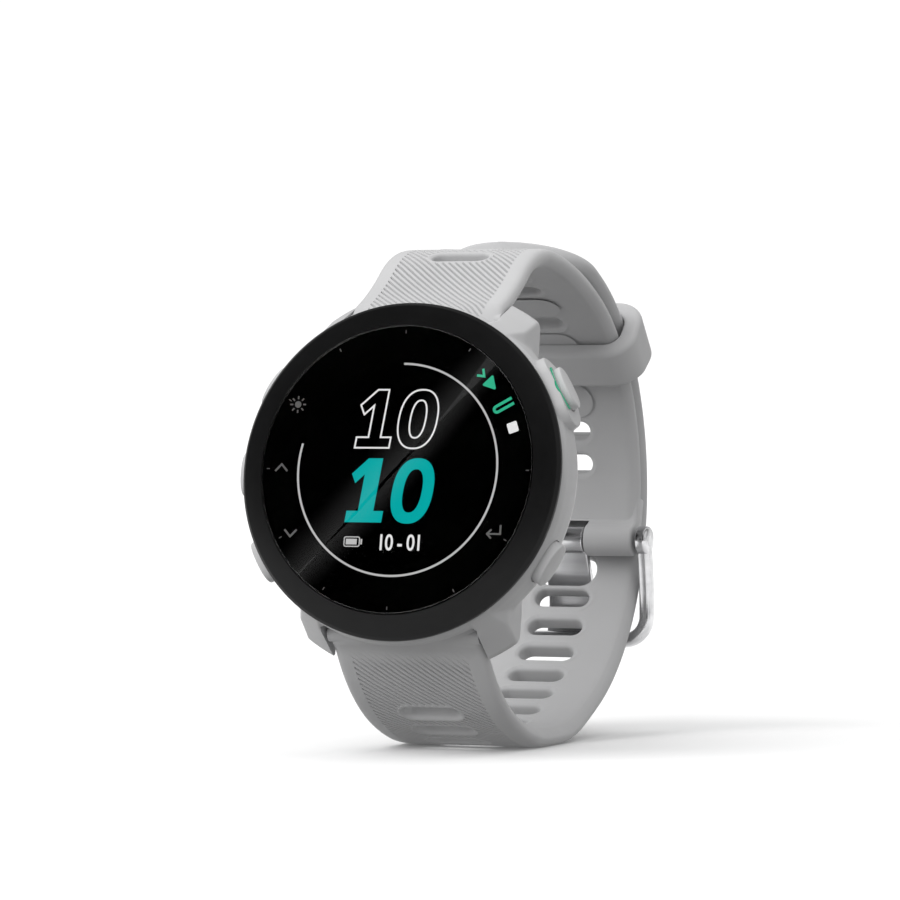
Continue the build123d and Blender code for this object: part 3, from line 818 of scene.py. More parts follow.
def make_legends():
    # each ink has its printed colour plus a painted glow of the given strength
    ash = printed("ink_ash", (0.16, 0.16, 0.16), 0.45)
    green = printed("ink_green", (0.03, 0.42, 0.24), 0.75)
    white = printed("ink_white", (0.75, 0.75, 0.75), 0.8)
    ticks = []
    for clock in range(0, 360, 30):
        if clock == 60:
            continue
        a = radians(clock)
        ticks.append(stroke([(r * sin(a), r * cos(a)) for r in (16.75, 17.15)], 0.1, INK_DEPTH))
    graphic("hour_ticks", ticks, ash)
    sun = [plate(arc((0, 0), 0.42, 0, 350, 35), INK_DEPTH)]
    for k in range(8):
        c, s = cos(k * pi / 4), sin(k * pi / 4)
        sun.append(stroke([(0.66 * c, 0.66 * s), (1.05 * c, 1.05 * s)], 0.18, INK_DEPTH))
    light = [(points + np.array([-13.6, 0, 7.95]), faces) for points, faces in sun]
    up_mark = [(-0.8, -0.4), (0, 0.45), (0.8, -0.4)]
    down_mark = [(x, -up) for x, up in up_mark]
    back_mark = [(0.9, 0.75), (0.9, -0.35), (-0.75, -0.35)]
    back_head = [(-0.25, 0.2), (-0.8, -0.35), (-0.25, -0.9)]
    grey_shells = light + [
        stroke(shifted(up_mark, -15.2, 0.1), 0.24, INK_DEPTH),
        stroke(shifted(down_mark, -13.4, -7.9), 0.24, INK_DEPTH),
        stroke(shifted(back_mark, 13.1, -7.4), 0.22, INK_DEPTH),
        stroke(shifted(back_head, 13.1, -7.4), 0.22, INK_DEPTH),
    ]
    graphic("button_icons", grey_shells, ash)
    start_clock = BUTTON_CLOCKS["start"]
    bracket = [(0.36, 1.3)] + arc((0, -0.95), 0.36, 0, -180, 10) + [(-0.36, 1.3)]
    bracket = turned_to(spun(bracket, start_clock), start_clock - 1.5, 15.5)
    play = spun(rounded([(-0.8, -0.95), (-0.8, 0.95), (0.95, 0)], 0.15, 3), 0)
    runner = [[(-1.5, 0.55), (-0.75, 0), (-1.5, -0.55)]]
    green_shells = [
        stroke(bracket, 0.36, INK_DEPTH),
        plate(turned_to(spun(play, 46), 48, 15.6), INK_DEPTH),
    ]
    for k, path in enumerate(runner):
        green_shells.append(stroke(turned_to(spun(path, 43), 45.5 - 5 * k, 15.6), 0.3, INK_DEPTH))
    graphic("start_icons", green_shells, green)
    stop = rounded([(-0.65, -0.65), (0.65, -0.65), (0.65, 0.65), (-0.65, 0.65)], 0.15, 3)
    graphic("stop_icon", [plate(turned_to(spun(stop, 70), 70.5, 15.6), INK_DEPTH)], white)


# ------------------------------------------------------------------ strap routes
class Route:
    """A chain of bends in the side view; a station is (y, z, heading in radians)."""

    def __init__(self, start, heading, bends):
        self.starts, self.distances, self.bends = [], [], bends
        y, z = start
        angle = radians(heading)
        gone = 0.0
        for length, turn in bends:
            self.starts.append((y, z, angle))
            self.distances.append(gone)
            y, z, angle = self.step(y, z, angle, length, radians(turn))
            gone += length
        self.end, self.length = (y, z, angle), gone

    @staticmethod
    def step(y, z, angle, length, turn):
        half = turn / 2
        chord = length * (np.sinc(half / pi))
        return y + chord * np.cos(angle + half), z + chord * np.sin(angle + half), angle + turn

    def at(self, distance):
        distance = np.asarray(distance, float)
        index = np.clip(np.searchsorted(self.distances, distance, side="right") - 1, 0, len(self.bends) - 1)
        starts = np.array(self.starts)[index]
        bends = np.array(self.bends)[index]
        part = distance - np.array(self.distances)[index]
        turn = np.radians(bends[..., 1]) * part / bends[..., 0]
        return self.step(starts[..., 0], starts[..., 1], starts[..., 2], part, turn)

    def reversed(self):
        y, z, angle = self.end
        back = [(length, -turn) for length, turn in reversed(self.bends)]
        return Route((y, z), np.degrees(angle) + 180, back)


def beside(station, offset):
    """The point that lies offset to the left of a station."""
    y, z, angle = station
    return (y - offset * np.sin(angle), z + offset * np.cos(angle))


def cut_bends(bends, length):
    kept = []
    for bend_length, turn in bends:
        if length <= 0:
            break
        share = min(1.0, length / bend_length)
        kept.append((bend_length * share, turn * share))
        length -= bend_length
    return kept


heading = radians(BUCKLE_HEADING)
over_start = (pivot[0] + BAR_INSET * sin(heading), pivot[1] - BAR_INSET * cos(heading))
over = Route(over_start, BUCKLE_HEADING, OVER_BENDS + OVER_LUG_BENDS)
under_start = beside((*over_start, heading), -LAYER_STEP)
under = Route(under_start, BUCKLE_HEADING - 180, UNDER_BENDS + UNDER_LUG_BENDS)
tail_bends = cut_bends(
    [(length + LAYER_STEP * radians(turn), turn) for length, turn in OVER_BENDS], TAIL_LENGTH)
upper_route = over.reversed()
lower_back = under.reversed()
lower_start = (lower_back.starts[0][0], lower_back.starts[0][1])
lower_route = Route(lower_start, np.degrees(lower_back.starts[0][2]), lower_back.bends + tail_bends)


def placed(route, distance, x, inward, side):
    """Strap points at a distance along a route, x across it and a depth under its outer face."""
    station = route.at(distance)
    y, z = beside(station, side * inward)
    return np.stack([x + 0 * y, y, z], axis=-1)


# ------------------------------------------------------------------ strap surface
def cross_section():
    """Columns (x, inward, is_outer) round the strap, starting on its outer face."""
    outer_x = np.linspace(-GROOVE_HALF, GROOVE_HALF, 129)
    corners = [(GROOVE_HALF, 0.0), (9.1, 0.03), (9.72, 0.34), (10.0, 0.9), (10.0, 1.35), (9.5, 1.95),
               (8.9, STRAP_THICKNESS)]
    rim = []
    for (a, b), (c, d) in zip(corners, corners[1:]):
        for t in (1 / 3, 2 / 3, 1):
            rim.append((a + (c - a) * t, b + (d - b) * t))
    for _ in range(2):
        kept = rim[:]
        for k in range(1, len(rim) - 1):
            rim[k] = tuple((kept[k - 1][j] + 2 * kept[k][j] + kept[k + 1][j]) / 4 for j in (0, 1))
    inner_x = np.concatenate([
        np.linspace(8.2, 5.4, 4), np.linspace(5.0, -5.0, 27), np.linspace(-5.4, -8.2, 4)])
    columns = [(x, 0.0, 1) for x in outer_x]
    columns += [(x, n, 0) for x, n in rim]
    columns += [(x, STRAP_THICKNESS, -1) for x in inner_x]
    columns += [(-x, n, 0) for x, n in reversed(rim)]
    return np.array(columns)


def stadium_distance(x, along, length, width):
    """How far a point lies outside a slot's outline; inside it is negative."""
    half = (length - width) / 2
    return np.hypot(np.maximum(np.abs(x) - half, 0), along) - width / 2


def row_places(length, grooved_to):
    """Row positions: four to a groove where the strap is grooved, even steps beyond."""
    first = -GROOVE_HALF
    count = int(ceil((grooved_to + GROOVE_HALF - first) / GROOVE_PITCH))
    rows = []
    for k in range(count):
        start = first + k * GROOVE_PITCH
        rows += [(start + step, depth) for step, depth in GROOVE_PROFILE]
    place = first + count * GROOVE_PITCH
    while place < length + GROOVE_HALF:
        rows.append((place, 0))
        place += 0.5
    return np.array(rows)


def strap_shell(route, side, slots, shear, fade, tip=False):
    """The strap's skin. Rows slant with the grooves, which fade in and out over the fade range."""
    length = route.length
    fade_start, fade_in, fade_out, fade_end = fade
    columns = cross_section()
    rows = row_places(length, fade_end)
    x, inward, kind = (columns[:, k][None] for k in range(3))
    place, is_groove = rows[:, :1], rows[:, 1:]
    lean = shear * (1 - smooth_step(fade_end + 1, fade_end + 20, place))
    slant = lean * np.clip(x, -GROOVE_HALF, GROOVE_HALF)
    distance = np.clip(place - slant, 0, length)
    half = np.ones_like(distance)
    if tip:
        into_tip = np.clip((distance - (length - TAIL_TIP)) / TAIL_TIP, 0, 0.9995)
        half = np.sqrt(1 - into_tip ** 2)
    mask = smooth_step(fade_start, fade_in, distance) * (1 - smooth_step(fade_out, fade_end, distance))
    mask = mask * (np.abs(x) < GROOVE_HALF - 0.05) * (kind > 0)
    rim = np.zeros_like(distance)
    for slot in slots:
        gap = stadium_distance(x, distance - slot, SLOT_LENGTH, SLOT_WIDTH) - 0.36
        mask = mask * smooth_step(0.3, 0.42, gap)
        rim = np.maximum(rim, smooth_step(0.75, 0.3, gap))
    inward = inward + GROOVE_DEPTH * mask * is_groove - 0.05 * rim * (kind > 0) + 0.09 * rim * (kind < 0)
    hug = FLANGE_HEIGHT - np.sqrt(CASE_HUG_RADIUS ** 2 - x ** 2)
    hug = np.maximum(hug, 0) * (1 - smooth_step(0, 3.0, distance))
    inward = inward + hug * (1 - inward / STRAP_THICKNESS)
    points = placed(route, distance, x * half, inward, side)
    return points.reshape(-1, 3), grid_faces(len(rows), len(columns), wrap_columns=True)


def strap_object(name, route, side, slots, shear, fade, tip=False):
    points, faces = strap_shell(route, side, slots, shear, fade, tip)
    mesh = bpy.data.meshes.new(name)
    mesh.from_pydata((from_standing(points) * MM).tolist(), [], faces)
    work = bmesh.new()
    work.from_mesh(mesh)
    bmesh.ops.remove_doubles(work, verts=work.verts, dist=3e-6)
    bmesh.ops.dissolve_degenerate(work, edges=work.edges, dist=1e-7)
    ends = [edge for edge in work.edges if edge.is_boundary]
    bmesh.ops.holes_fill(work, edges=ends, sides=0)
    bmesh.ops.recalc_face_normals(work, faces=work.faces)
    work.to_mesh(mesh)
    work.free()
    piece = bpy.data.objects.new(name, mesh)
    bpy.context.scene.collection.objects.link(piece)
    return piece


def slot_cutter(route, side, distance, length=SLOT_LENGTH, width=SLOT_WIDTH):
    """A slot with softly rounded mouths on both faces of the strap."""
    y, z, angle = (float(part) for part in route.at(distance))
    levels = []
    for degrees_in in (22, 35, 50, 65, 90):
        turn = radians(degrees_in)
        levels.append((MOUTH_RADIUS * (1 - cos(turn)), MOUTH_RADIUS * (1 - sin(turn))))
    flare = 1 / tan(radians(22))
    top = [(levels[0][0] - 0.35, levels[0][1] + 0.35 * flare)]
    half_profile = top + levels
    profile = half_profile + [(STRAP_THICKNESS - n, grow) for n, grow in reversed(half_profile)]
    rings = []
    for n, grow in profile:
        ring = []
        for a, b in pill_outline(length + 2 * grow, width + 2 * grow, 14):
            ring.append((
                a,
                y + b * cos(angle) - side * n * sin(angle),
                z + b * sin(angle) + side * n * cos(angle),
            ))
        rings.append(ring)
    points, faces = loft(rings)
    return points, faces


def extruded(outline, x_from, x_to):
    """A side-view (y, z) outline as a plate across the strap, in the standing frame."""
    count = len(outline)
    points = [(x, y, z) for x in (x_from, x_to) for y, z in outline]
    faces = [[k, (k + 1) % count, count + (k + 1) % count, count + k] for k in range(count)]
    faces += [list(range(count)), [count + k for k in reversed(range(count))]]
    return np.array(points), faces


def standing_draft(name, shell):
    points, faces = shell
    return draft(name, from_standing(points), faces)


def lug_filler(up_side, route):
    """The moulded block that carries the spring bar between the lugs."""
    stations = [route.at(d) for d in (1.6, 3.6, 6.5)]
    side = 1 if up_side < 0 else -1
    under_face = [tuple(float(v) for v in beside(s, side * n)) for s, n in zip(stations, (1.4, 0.95, 0.8))]
    outline = [side_point(FLANGE_BACK + 0.2, up_side * 18.3)] + under_face + [
        tuple(float(v) for v in beside(stations[-1], side * (STRAP_THICKNESS - 0.15))),
        side_point(BAR_DEPTH + 1.75, up_side * (BAR_HEIGHT - 0.3)),
        side_point(BAR_DEPTH + 0.9, up_side * (BAR_HEIGHT - 1.7)),
        side_point(BAR_DEPTH - 0.4, up_side * (BAR_HEIGHT - 1.85)),
        side_point(FLANGE_BACK + 0.2, up_side * 17.7),
    ]
    return standing_draft("filler", extruded(rounded(outline, 0.3, 3), -9.35, 9.35))


def rod(centre, radius, x_from, x_to, steps=48, edge=0.0):
    """A rod along X with rounded rims at a standing (y, z) point."""
    rings = []
    if edge:
        turns = [radians(22.5 * k) for k in range(5)]
        start = [(x_from + edge * (1 - sin(t)), radius - edge * (1 - cos(t))) for t in reversed(turns)]
        ends = start + [(x_from + x_to - x, r) for x, r in reversed(start)]
    else:
        ends = [(x_from, radius), (x_to, radius)]
    for x, r in ends:
        rings.append([(x, a, b) for a, b in arc(centre, r, 0, 360 - 360 / steps, steps - 1)])
    return loft(rings)


def buckle_end():
    """The strap's thickened end round the buckle bar, with a hollow blend into the band."""
    radius, hollow = 2.1, 2.0
    rise = hollow + STRAP_THICKNESS - BAR_INSET - 0.02
    run = sqrt((radius + hollow) ** 2 - rise ** 2)
    touch = np.degrees(atan2(rise, run))
    local = [(6.0, -BAR_INSET + 0.05)]
    local += arc((0, 0), radius, -90, touch - 360, 40)
    local += arc((run, rise), hollow, touch + 180, 270, 10)[1:]
    local += [(6.0, rise - hollow)]
    c, s = cos(heading), sin(heading)
    outline = [(pivot[0] + u * c - v * s, pivot[1] + u * s + v * c) for u, v in local]
    return extruded(outline, -STRAP_HALF + 0.02, STRAP_HALF - 0.02)


def bar_point(up_side):
    return side_point(BAR_DEPTH, up_side * BAR_HEIGHT)


def bar_cover(up_side):
    """The strap's rubber round its spring bar, out to both edges."""
    return standing_draft("cover", rod(bar_point(up_side), 1.05, -9.93, 9.93))


def release_window(up_side):
    points, faces = box_shell(
        (3.0, 6.8), (BAR_DEPTH - 0.6, BAR_DEPTH + 0.6), sorted((up_side * 14.0, up_side * BAR_HEIGHT)))
    return draft("cut", from_face(points), faces)


def make_upper_strap():
    slots = [over.length - slot for slot in OVER_SLOTS]
    strap = strap_object("strap_upper", upper_route, -1, slots, 1, (0.2, 0.6, 46.0, 50.0))
    end = standing_draft("end", buckle_end())
    soften(end, 0.4, 4)
    carve(strap, end, "UNION")
    carve(strap, lug_filler(1, upper_route), "UNION")
    carve(strap, bar_cover(1), "UNION")
    cuts = [slot_cutter(upper_route, -1, slot) for slot in slots]
    cuts.append(rod(pivot, 0.73, -12, 12))
    cuts.append(rod(bar_point(1), 0.77, -12, 12))
    carve(strap, standing_draft("cut", joined(*cuts)))
    notch = [(pivot[0] - 4, pivot[1] - 5.5), (pivot[0] + 4, pivot[1] - 5.5),
             (pivot[0] + 4, pivot[1] + 2.5), (pivot[0] - 4, pivot[1] + 2.5)]
    carve(strap, standing_draft("cut", extruded(notch, -3.45, 3.45)))
    carve(strap, release_window(1))
    dress(strap, finish["silicone"], replaces=["upper_strap"])


def make_lower_strap():
    slots = [under.length - slot for slot in UNDER_SLOTS] + [under.length + slot for slot in TAIL_SLOTS]
    strap = strap_object("strap_lower", lower_route, 1, slots, -1, (3.4, 8.0, 58.0, 62.0), tip=True)
    carve(strap, lug_filler(-1, lower_route), "UNION")
    carve(strap, bar_cover(-1), "UNION")
    cuts = [slot_cutter(lower_route, 1, slot) for slot in slots]
    cuts.append(rod(bar_point(-1), 0.77, -12, 12))
    carve(strap, standing_draft("cut", joined(*cuts)))
    opening = slot_cutter(lower_route, 1, under.length - PRONG_SLOT_AT, PRONG_SLOT_LENGTH, PRONG_SLOT_WIDTH)
    carve(strap, standing_draft("cut", opening))
    carve(strap, release_window(-1))
    dress(strap, finish["silicone"], replaces=["lower_strap"])


# ------------------------------------------------------------------ buckle and keeper
PRONG_BENDS = [(5.2, 0.0), (3.0, -16.0), (2.8, -22.0), (2.6, -4.0)]
ARM_BENDS = [(4.6, -5.0), (4.6, -10.0), (4.1, -8.0)]
PRONG_THICKNESS = 1.1
PRONG_SLOT_AT = 3.85
PRONG_SLOT_LENGTH = 8.2
PRONG_SLOT_WIDTH = 4.2
BOW_THICKNESS = 2.15
BOW_INNER = 10.38
BOW_OUTER = 12.03
BOW_CORNER = 3.0


def along_route(route, width, steps):
    """The outline of a strip of even width along a route, with round ends."""
    distances = np.linspace(0, route.length, steps)
    left = [beside(route.at(d), width / 2) for d in distances]
    right = [beside(route.at(d), -width / 2) for d in distances]
    y, z, angle = route.end
    turn = np.degrees(angle)
    far = arc((y, z), width / 2, turn + 90, turn - 90, 10)[1:-1]
    y, z, angle = route.starts[0]
    turn = np.degrees(angle)
    near = arc((y, z), width / 2, turn - 90, turn - 270, 10)[1:-1]
    outline = left + far + list(reversed(right)) + near
    return [(float(a), float(b)) for a, b in outline]


def prong_outline(extra):
    return along_route(Route(pivot, -65.0, PRONG_BENDS), PRONG_THICKNESS + 2 * extra, 30)


def make_tongue():
    tongue = standing_draft("tongue_prong", extruded(prong_outline(0), -3.1, 3.1))
    soften(tongue, 0.25)
    hub = standing_draft("hub", rod(pivot, 1.79, -3.1, 3.1, 64, 0.2))
    carve(tongue, hub, "UNION")
    carve(tongue, standing_draft("cut", rod(pivot, 0.72, -5, 5)))
    dress(tongue, finish["steel"], body="tongue", replaces=["buckle_tongue"])


def bow_stations():
    """The bow's middle line as (x, distance along the arms, heading in their sheet, width, roundness)."""
    side_x = (BOW_INNER + BOW_OUTER) / 2
    arm_length = sum(length for length, _ in ARM_BENDS)
    half = []
    for t in np.linspace(0, 1, 15):
        half.append((side_x, t * (arm_length - BOW_CORNER), 90, BOW_OUTER - BOW_INNER, 0.6))
    for k in range(1, 15):
        turn = radians(90 * k / 15)
        half.append((side_x - BOW_CORNER * (1 - cos(turn)), arm_length - BOW_CORNER * (1 - sin(turn)),
                     90 + 90 * k / 15, BOW_OUTER - BOW_INNER, 0.6))
    for x in np.linspace(side_x - BOW_CORNER, 0, 12):
        half.append((x, arm_length, 180, BOW_OUTER - BOW_INNER, 0.6))
    smoothed = []
    for x, along, turn, width, round_edge in half:
        share = float(smooth_step(2.0, side_x, x))
        smoothed.append((x, along, turn, 2.2 + (width - 2.2) * share, 1.0 - (1.0 - round_edge) * share))
    mirrored = [(-x, along, 360 - turn, width, edge)
                for x, along, turn, width, edge in reversed(smoothed[:-1])]
    return smoothed + mirrored


def make_buckle_frame():
    """A bent steel bow: one bar that runs down both arms and round the far side."""
    arm = Route(pivot, -77.0, ARM_BENDS)
    rings = []
    for x, along, turn, width, edge in bow_stations():
        half_width, half_height = width / 2, BOW_THICKNESS / 2
        corners = [(-half_width, -half_height), (half_width, -half_height), (half_width, half_height),
                   (-half_width, half_height)]
        ring = []
        for aside, over_sheet in rounded(corners, edge, 6):
            px = x + aside * sin(radians(turn))
            reach = along - aside * cos(radians(turn))
            y, z, angle = arm.at(reach)
            ring.append((px, *beside((y, z, angle), over_sheet)))
        rings.append(ring)
    bow = standing_draft("buckle_bow", loft(rings))
    for side in (-1, 1):
        boss = rod(pivot, 1.88, *sorted((side * BOW_INNER, side * BOW_OUTER)), 64, 0.5)
        carve(bow, standing_draft("boss", boss), "UNION")
    carve(bow, standing_draft("cut", rod(pivot, 0.72, -13, 13)))
    dress(bow, finish["steel"], body="frame", replaces=["buckle_frame"])


def rounded_loop(half_x, low, high, radius, steps=10):
    return rounded([(-half_x, low), (half_x, low), (half_x, high), (-half_x, high)], radius, steps)


def make_keeper():
    """A soft loop round both strap layers, bent to the strap's curve."""
    length, turn = OVER_BENDS[1]
    bend_radius = length / radians(turn)
    bend = over.starts[1]
    centre = beside(bend, bend_radius)
    y, z, _ = over.at(KEEPER_AT)
    place = atan2(z - centre[1], y - centre[0])
    hole_low = bend_radius - STRAP_THICKNESS - 0.3
    hole_high = bend_radius + LAYER_STEP + 0.45
    half_hole = STRAP_HALF + 0.3
    inner = np.array(rounded_loop(half_hole, hole_low, hole_high, 2.1))
    outer = np.array(rounded_loop(
        half_hole + KEEPER_WALL, hole_low - KEEPER_WALL, hole_high + KEEPER_WALL, 3.9))
    half_length = KEEPER_LENGTH / 2
    corners = [(-half_length, 0), (half_length, 0), (half_length, KEEPER_WALL), (-half_length, KEEPER_WALL)]
    wall = rounded(corners, [0.35, 0.35, 0.8, 0.8], 5)
    rings = []
    for k in range(len(inner)):
        ring = []
        for along, level in wall:
            x, level_radius = inner[k] + (outer[k] - inner[k]) * (level / KEEPER_WALL)
            angle = place + along / bend_radius
            ring.append((x, centre[0] + level_radius * cos(angle), centre[1] + level_radius * sin(angle)))
        rings.append(ring)
    points = np.array(rings).reshape(-1, 3)
    faces = grid_faces(len(rings), len(wall), True, True)
    keeper = standing_draft("keeper_band", (points, faces))
    dress(keeper, finish["silicone"], body="keeper", replaces=["keeper_loop"])


make_bezel()
make_glass()
make_mask()
make_case()
for button in BUTTON_CLOCKS:
    make_button(button)
make_display()
make_legends()
make_tongue()
make_buckle_frame()
make_keeper()
make_upper_strap()
make_lower_strap()


# ------------------------------------------------------------------ stage, light and camera
HORIZON_LIGHT = 0.3
ZENITH_LIGHT = 1.1
FLOOR_HALF = 40000


def make_floor():
    material = principled("floor_paper", (0.95, 0.95, 0.95), 1.0, Specular_IOR_Level=0.0)
    mottle(material, (0.945, 0.945, 0.945), (0.955, 0.955, 0.955), 3)
    corners = [(-FLOOR_HALF, -FLOOR_HALF, 0), (FLOOR_HALF, -FLOOR_HALF, 0),
               (FLOOR_HALF, FLOOR_HALF, 0), (-FLOOR_HALF, FLOOR_HALF, 0)]
    floor = draft("floor", corners, [[0, 1, 2, 3]])
    floor.data.materials.append(material)
    floor.visible_diffuse = False


def make_world():
    """A soft sky, brightest overhead, that lights the watch but isn't mirrored in it."""
    world = bpy.data.worlds.new("studio")
    world.use_nodes = True
    nodes, links = world.node_tree.nodes, world.node_tree.links
    background = nodes["Background"]
    place = nodes.new("ShaderNodeTexCoord")
    apart = nodes.new("ShaderNodeSeparateXYZ")
    rise = nodes.new("ShaderNodeMapRange")
    rise.inputs["From Min"].default_value = -0.3
    rise.inputs["From Max"].default_value = 1.0
    rise.inputs["To Min"].default_value = HORIZON_LIGHT
    rise.inputs["To Max"].default_value = ZENITH_LIGHT
    links.new(place.outputs["Generated"], apart.inputs["Vector"])
    links.new(apart.outputs["Z"], rise.inputs["Value"])
    links.new(rise.outputs["Result"], background.inputs["Strength"])
    background.inputs["Color"].default_value = (1, 1, 1, 1)
    world.cycles_visibility.glossy = False
    world.cycles_visibility.transmission = False
    bpy.context.scene.world = world


def make_key_light():
    key = bpy.data.lights.new("key_light", "SUN")
    key.energy = 1.9
    key.angle = radians(60)
    lamp = bpy.data.objects.new("key_light", key)
    lamp.visible_glossy = False
    bpy.context.scene.collection.objects.link(lamp)
    towards = Vector((0.4, 0.75, -0.6))
    lamp.rotation_mode = "QUATERNION"
    lamp.rotation_quaternion = towards.to_track_quat("-Z", "Y")


def make_backdrop():
    """White paper far behind the watch, which only the camera sees."""
    material = principled("backdrop_paper", (0, 0, 0), 1.0, Specular_IOR_Level=0.0)
    ramp = add_node(material, "ShaderNodeValToRGB")
    ramp.color_ramp.elements[0].color = (1.05, 1.05, 1.05, 1)
    ramp.color_ramp.elements[1].color = (1.1, 1.1, 1.1, 1)
    link(material, noise(material, 1), ramp.inputs["Fac"])
    link(material, ramp.outputs["Color"], shader_of(material).inputs["Emission Color"])
    shader_of(material).inputs["Emission Strength"].default_value = 1.0
    material.cycles.emission_sampling = "NONE"
    turns = np.linspace(0, 2 * pi, 64, endpoint=False)
    rings = [[(30000 * cos(a), 30000 * sin(a), z) for a in turns] for z in (-200, 20000)]
    points, faces = loft(rings)
    wall = draft("backdrop", points, faces[:-2])
    wall.data.materials.append(material)
    only_for(wall, "visible_camera")


CAMERA_TURN = radians(21.94)
CAMERA_PITCH = radians(0.772)
CAMERA_DISTANCE = 600.0
CAMERA_AIM = Vector((7.147, 0.0, 2.311))
CAMERA_LENS = 199.3


def make_camera():
    camera = bpy.data.cameras.new("camera")
    camera.lens = CAMERA_LENS
    camera.sensor_width = 36
    camera.clip_end = 100
    towards = Vector((
        -sin(CAMERA_TURN) * cos(CAMERA_PITCH), cos(CAMERA_TURN) * cos(CAMERA_PITCH), -sin(CAMERA_PITCH)))
    viewer = bpy.data.objects.new("camera", camera)
    bpy.context.scene.collection.objects.link(viewer)
    viewer.location = (dial + CAMERA_AIM - towards * CAMERA_DISTANCE) * MM
    viewer.rotation_mode = "QUATERNION"
    viewer.rotation_quaternion = towards.to_track_quat("-Z", "Y")
    bpy.context.scene.camera = viewer
    return viewer


RAY_KINDS = ("visible_camera", "visible_diffuse", "visible_glossy", "visible_transmission",
             "visible_volume_scatter", "visible_shadow")


def only_for(item, *kinds):
    """A stage piece that these kinds of ray see and all the others pass."""
    for kind in RAY_KINDS:
        setattr(item, kind, kind in kinds)


GLARE_EDGE = ((15.0, 15.4), (-12.9, -12.2))
GLARE_DISTANCE = 700.0
STRIP_WIDTH = 30.0
STRIP_HALF = 900.0
STRIP_LIGHT = 0.5
STRIPE_SCALE = 0.45
STRIPE_LOW = 0.2
DOME_RADIUS = 1300.0
DOME_LIGHT = 0.9


def dot_from(material, origin, direction):
    """How far a surface point lies from an origin along a direction."""
    place = add_node(material, "ShaderNodeTexCoord").outputs["Object"]
    offset = add_node(material, "ShaderNodeVectorMath", operation="SUBTRACT")
    offset.inputs[1].default_value = origin * MM
    dot = add_node(material, "ShaderNodeVectorMath", operation="DOT_PRODUCT")
    dot.inputs[1].default_value = direction
    link(material, place, offset.inputs[0])
    link(material, offset.outputs["Vector"], dot.inputs[0])
    return dot.outputs["Value"]


def mirrored(x, up, viewer):
    """Where the glass shows a dial point's mirror image, GLARE_DISTANCE away."""
    place = Vector(from_face([(x, 0, up)])[0])
    sight = (place - viewer.location / MM).normalized()
    bounce = sight - 2 * sight.dot(back_normal) * back_normal
    return place + bounce * GLARE_DISTANCE


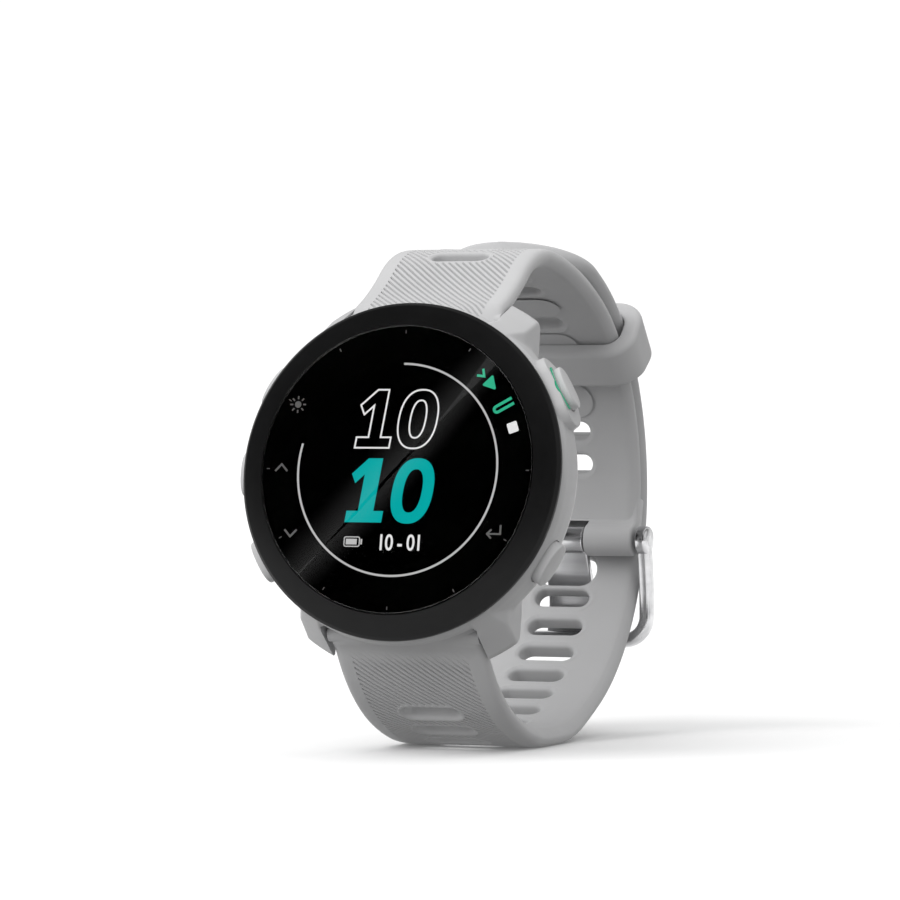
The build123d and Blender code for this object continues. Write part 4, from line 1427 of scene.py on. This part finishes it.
def make_reflections(viewer):
    """A bright dome that is dark where the glass looks, with one long soft light along its diagonal."""
    far, near = (mirrored(*point, viewer) for point in GLARE_EDGE)
    heart = (far + near) / 2
    outward = (heart - dial).normalized()
    along = (far - near).normalized()
    aside = along.cross(outward).normalized()
    if aside.x > 0:
        aside = -aside
    dome_glow = principled("dome_glow", (0, 0, 0), 1.0, Specular_IOR_Level=0.0)
    facing = dot_from(dome_glow, dial, outward)
    lift = add_node(dome_glow, "ShaderNodeMapRange", interpolation_type="SMOOTHSTEP")
    lift.inputs["From Min"].default_value = DOME_RADIUS * MM * cos(radians(52))
    lift.inputs["From Max"].default_value = DOME_RADIUS * MM * cos(radians(80))
    lift.inputs["To Min"].default_value = 0.0
    lift.inputs["To Max"].default_value = DOME_LIGHT
    link(dome_glow, facing, lift.inputs["Value"])
    ends = add_node(dome_glow, "ShaderNodeMath", operation="ABSOLUTE")
    link(dome_glow, dot_from(dome_glow, dial, along), ends.inputs[0])
    end_lights = add_node(dome_glow, "ShaderNodeMapRange", interpolation_type="SMOOTHSTEP")
    end_lights.inputs["From Min"].default_value = DOME_RADIUS * MM * cos(radians(58))
    end_lights.inputs["From Max"].default_value = DOME_RADIUS * MM * cos(radians(38))
    end_lights.inputs["To Min"].default_value = 0.0
    end_lights.inputs["To Max"].default_value = DOME_LIGHT
    link(dome_glow, ends.outputs[0], end_lights.inputs["Value"])
    brightest = add_node(dome_glow, "ShaderNodeMath", operation="MAXIMUM")
    link(dome_glow, lift.outputs["Result"], brightest.inputs[0])
    link(dome_glow, end_lights.outputs["Result"], brightest.inputs[1])
    stripes = add_node(dome_glow, "ShaderNodeTexWave", bands_direction="X")
    stripes.inputs["Scale"].default_value = STRIPE_SCALE
    link(dome_glow, add_node(dome_glow, "ShaderNodeTexCoord").outputs["Object"], stripes.inputs["Vector"])
    shade = add_node(dome_glow, "ShaderNodeMapRange")
    shade.inputs["To Min"].default_value = STRIPE_LOW
    link(dome_glow, stripes.outputs["Fac"], shade.inputs["Value"])
    shaded = add_node(dome_glow, "ShaderNodeMath", operation="MULTIPLY")
    link(dome_glow, brightest.outputs[0], shaded.inputs[0])
    link(dome_glow, shade.outputs["Result"], shaded.inputs[1])
    shader_of(dome_glow).inputs["Emission Color"].default_value = (1, 1, 1, 1)
    link(dome_glow, shaded.outputs[0], shader_of(dome_glow).inputs["Emission Strength"])
    dome_glow.cycles.emission_sampling = "NONE"
    rings = []
    for rise in np.linspace(-89, 89, 45):
        reach, height = DOME_RADIUS * cos(radians(rise)), DOME_RADIUS * sin(radians(rise))
        rings.append([(dial.x + reach * cos(a), dial.y + reach * sin(a), dial.z + height)
                      for a in np.linspace(0, 2 * pi, 64, endpoint=False)])
    dome = draft("dome", *loft(rings))
    dome.data.materials.append(dome_glow)
    only_for(dome, "visible_glossy", "visible_transmission")
    corners = [heart + along * a + aside * b for a, b in (
        (-STRIP_HALF, 0), (STRIP_HALF, 0), (STRIP_HALF, STRIP_WIDTH), (-STRIP_HALF, STRIP_WIDTH))]
    strip = draft("strip_light", [tuple(corner) for corner in corners], [[0, 1, 2, 3]])
    strip_glow = principled("strip_glow", (0, 0, 0), 1.0, Specular_IOR_Level=0.0)
    fall = add_node(strip_glow, "ShaderNodeMapRange")
    fall.inputs["From Min"].default_value = STRIP_WIDTH * MM
    fall.inputs["From Max"].default_value = 0.0
    curve = add_node(strip_glow, "ShaderNodeMath", operation="POWER")
    curve.inputs[1].default_value = 1.7
    glow = add_node(strip_glow, "ShaderNodeMath", operation="MULTIPLY")
    glow.inputs[1].default_value = STRIP_LIGHT
    link(strip_glow, dot_from(strip_glow, heart, aside), fall.inputs["Value"])
    link(strip_glow, fall.outputs["Result"], curve.inputs[0])
    link(strip_glow, curve.outputs[0], glow.inputs[0])
    shader_of(strip_glow).inputs["Emission Color"].default_value = (1, 1, 1, 1)
    link(strip_glow, glow.outputs[0], shader_of(strip_glow).inputs["Emission Strength"])
    strip_glow.cycles.emission_sampling = "NONE"
    strip.data.materials.append(strip_glow)
    only_for(strip, "visible_glossy", "visible_transmission")


make_floor()
make_world()
make_key_light()
viewer = make_camera()
make_backdrop()
make_reflections(viewer)
bpy.context.scene.view_settings.view_transform = "Standard"
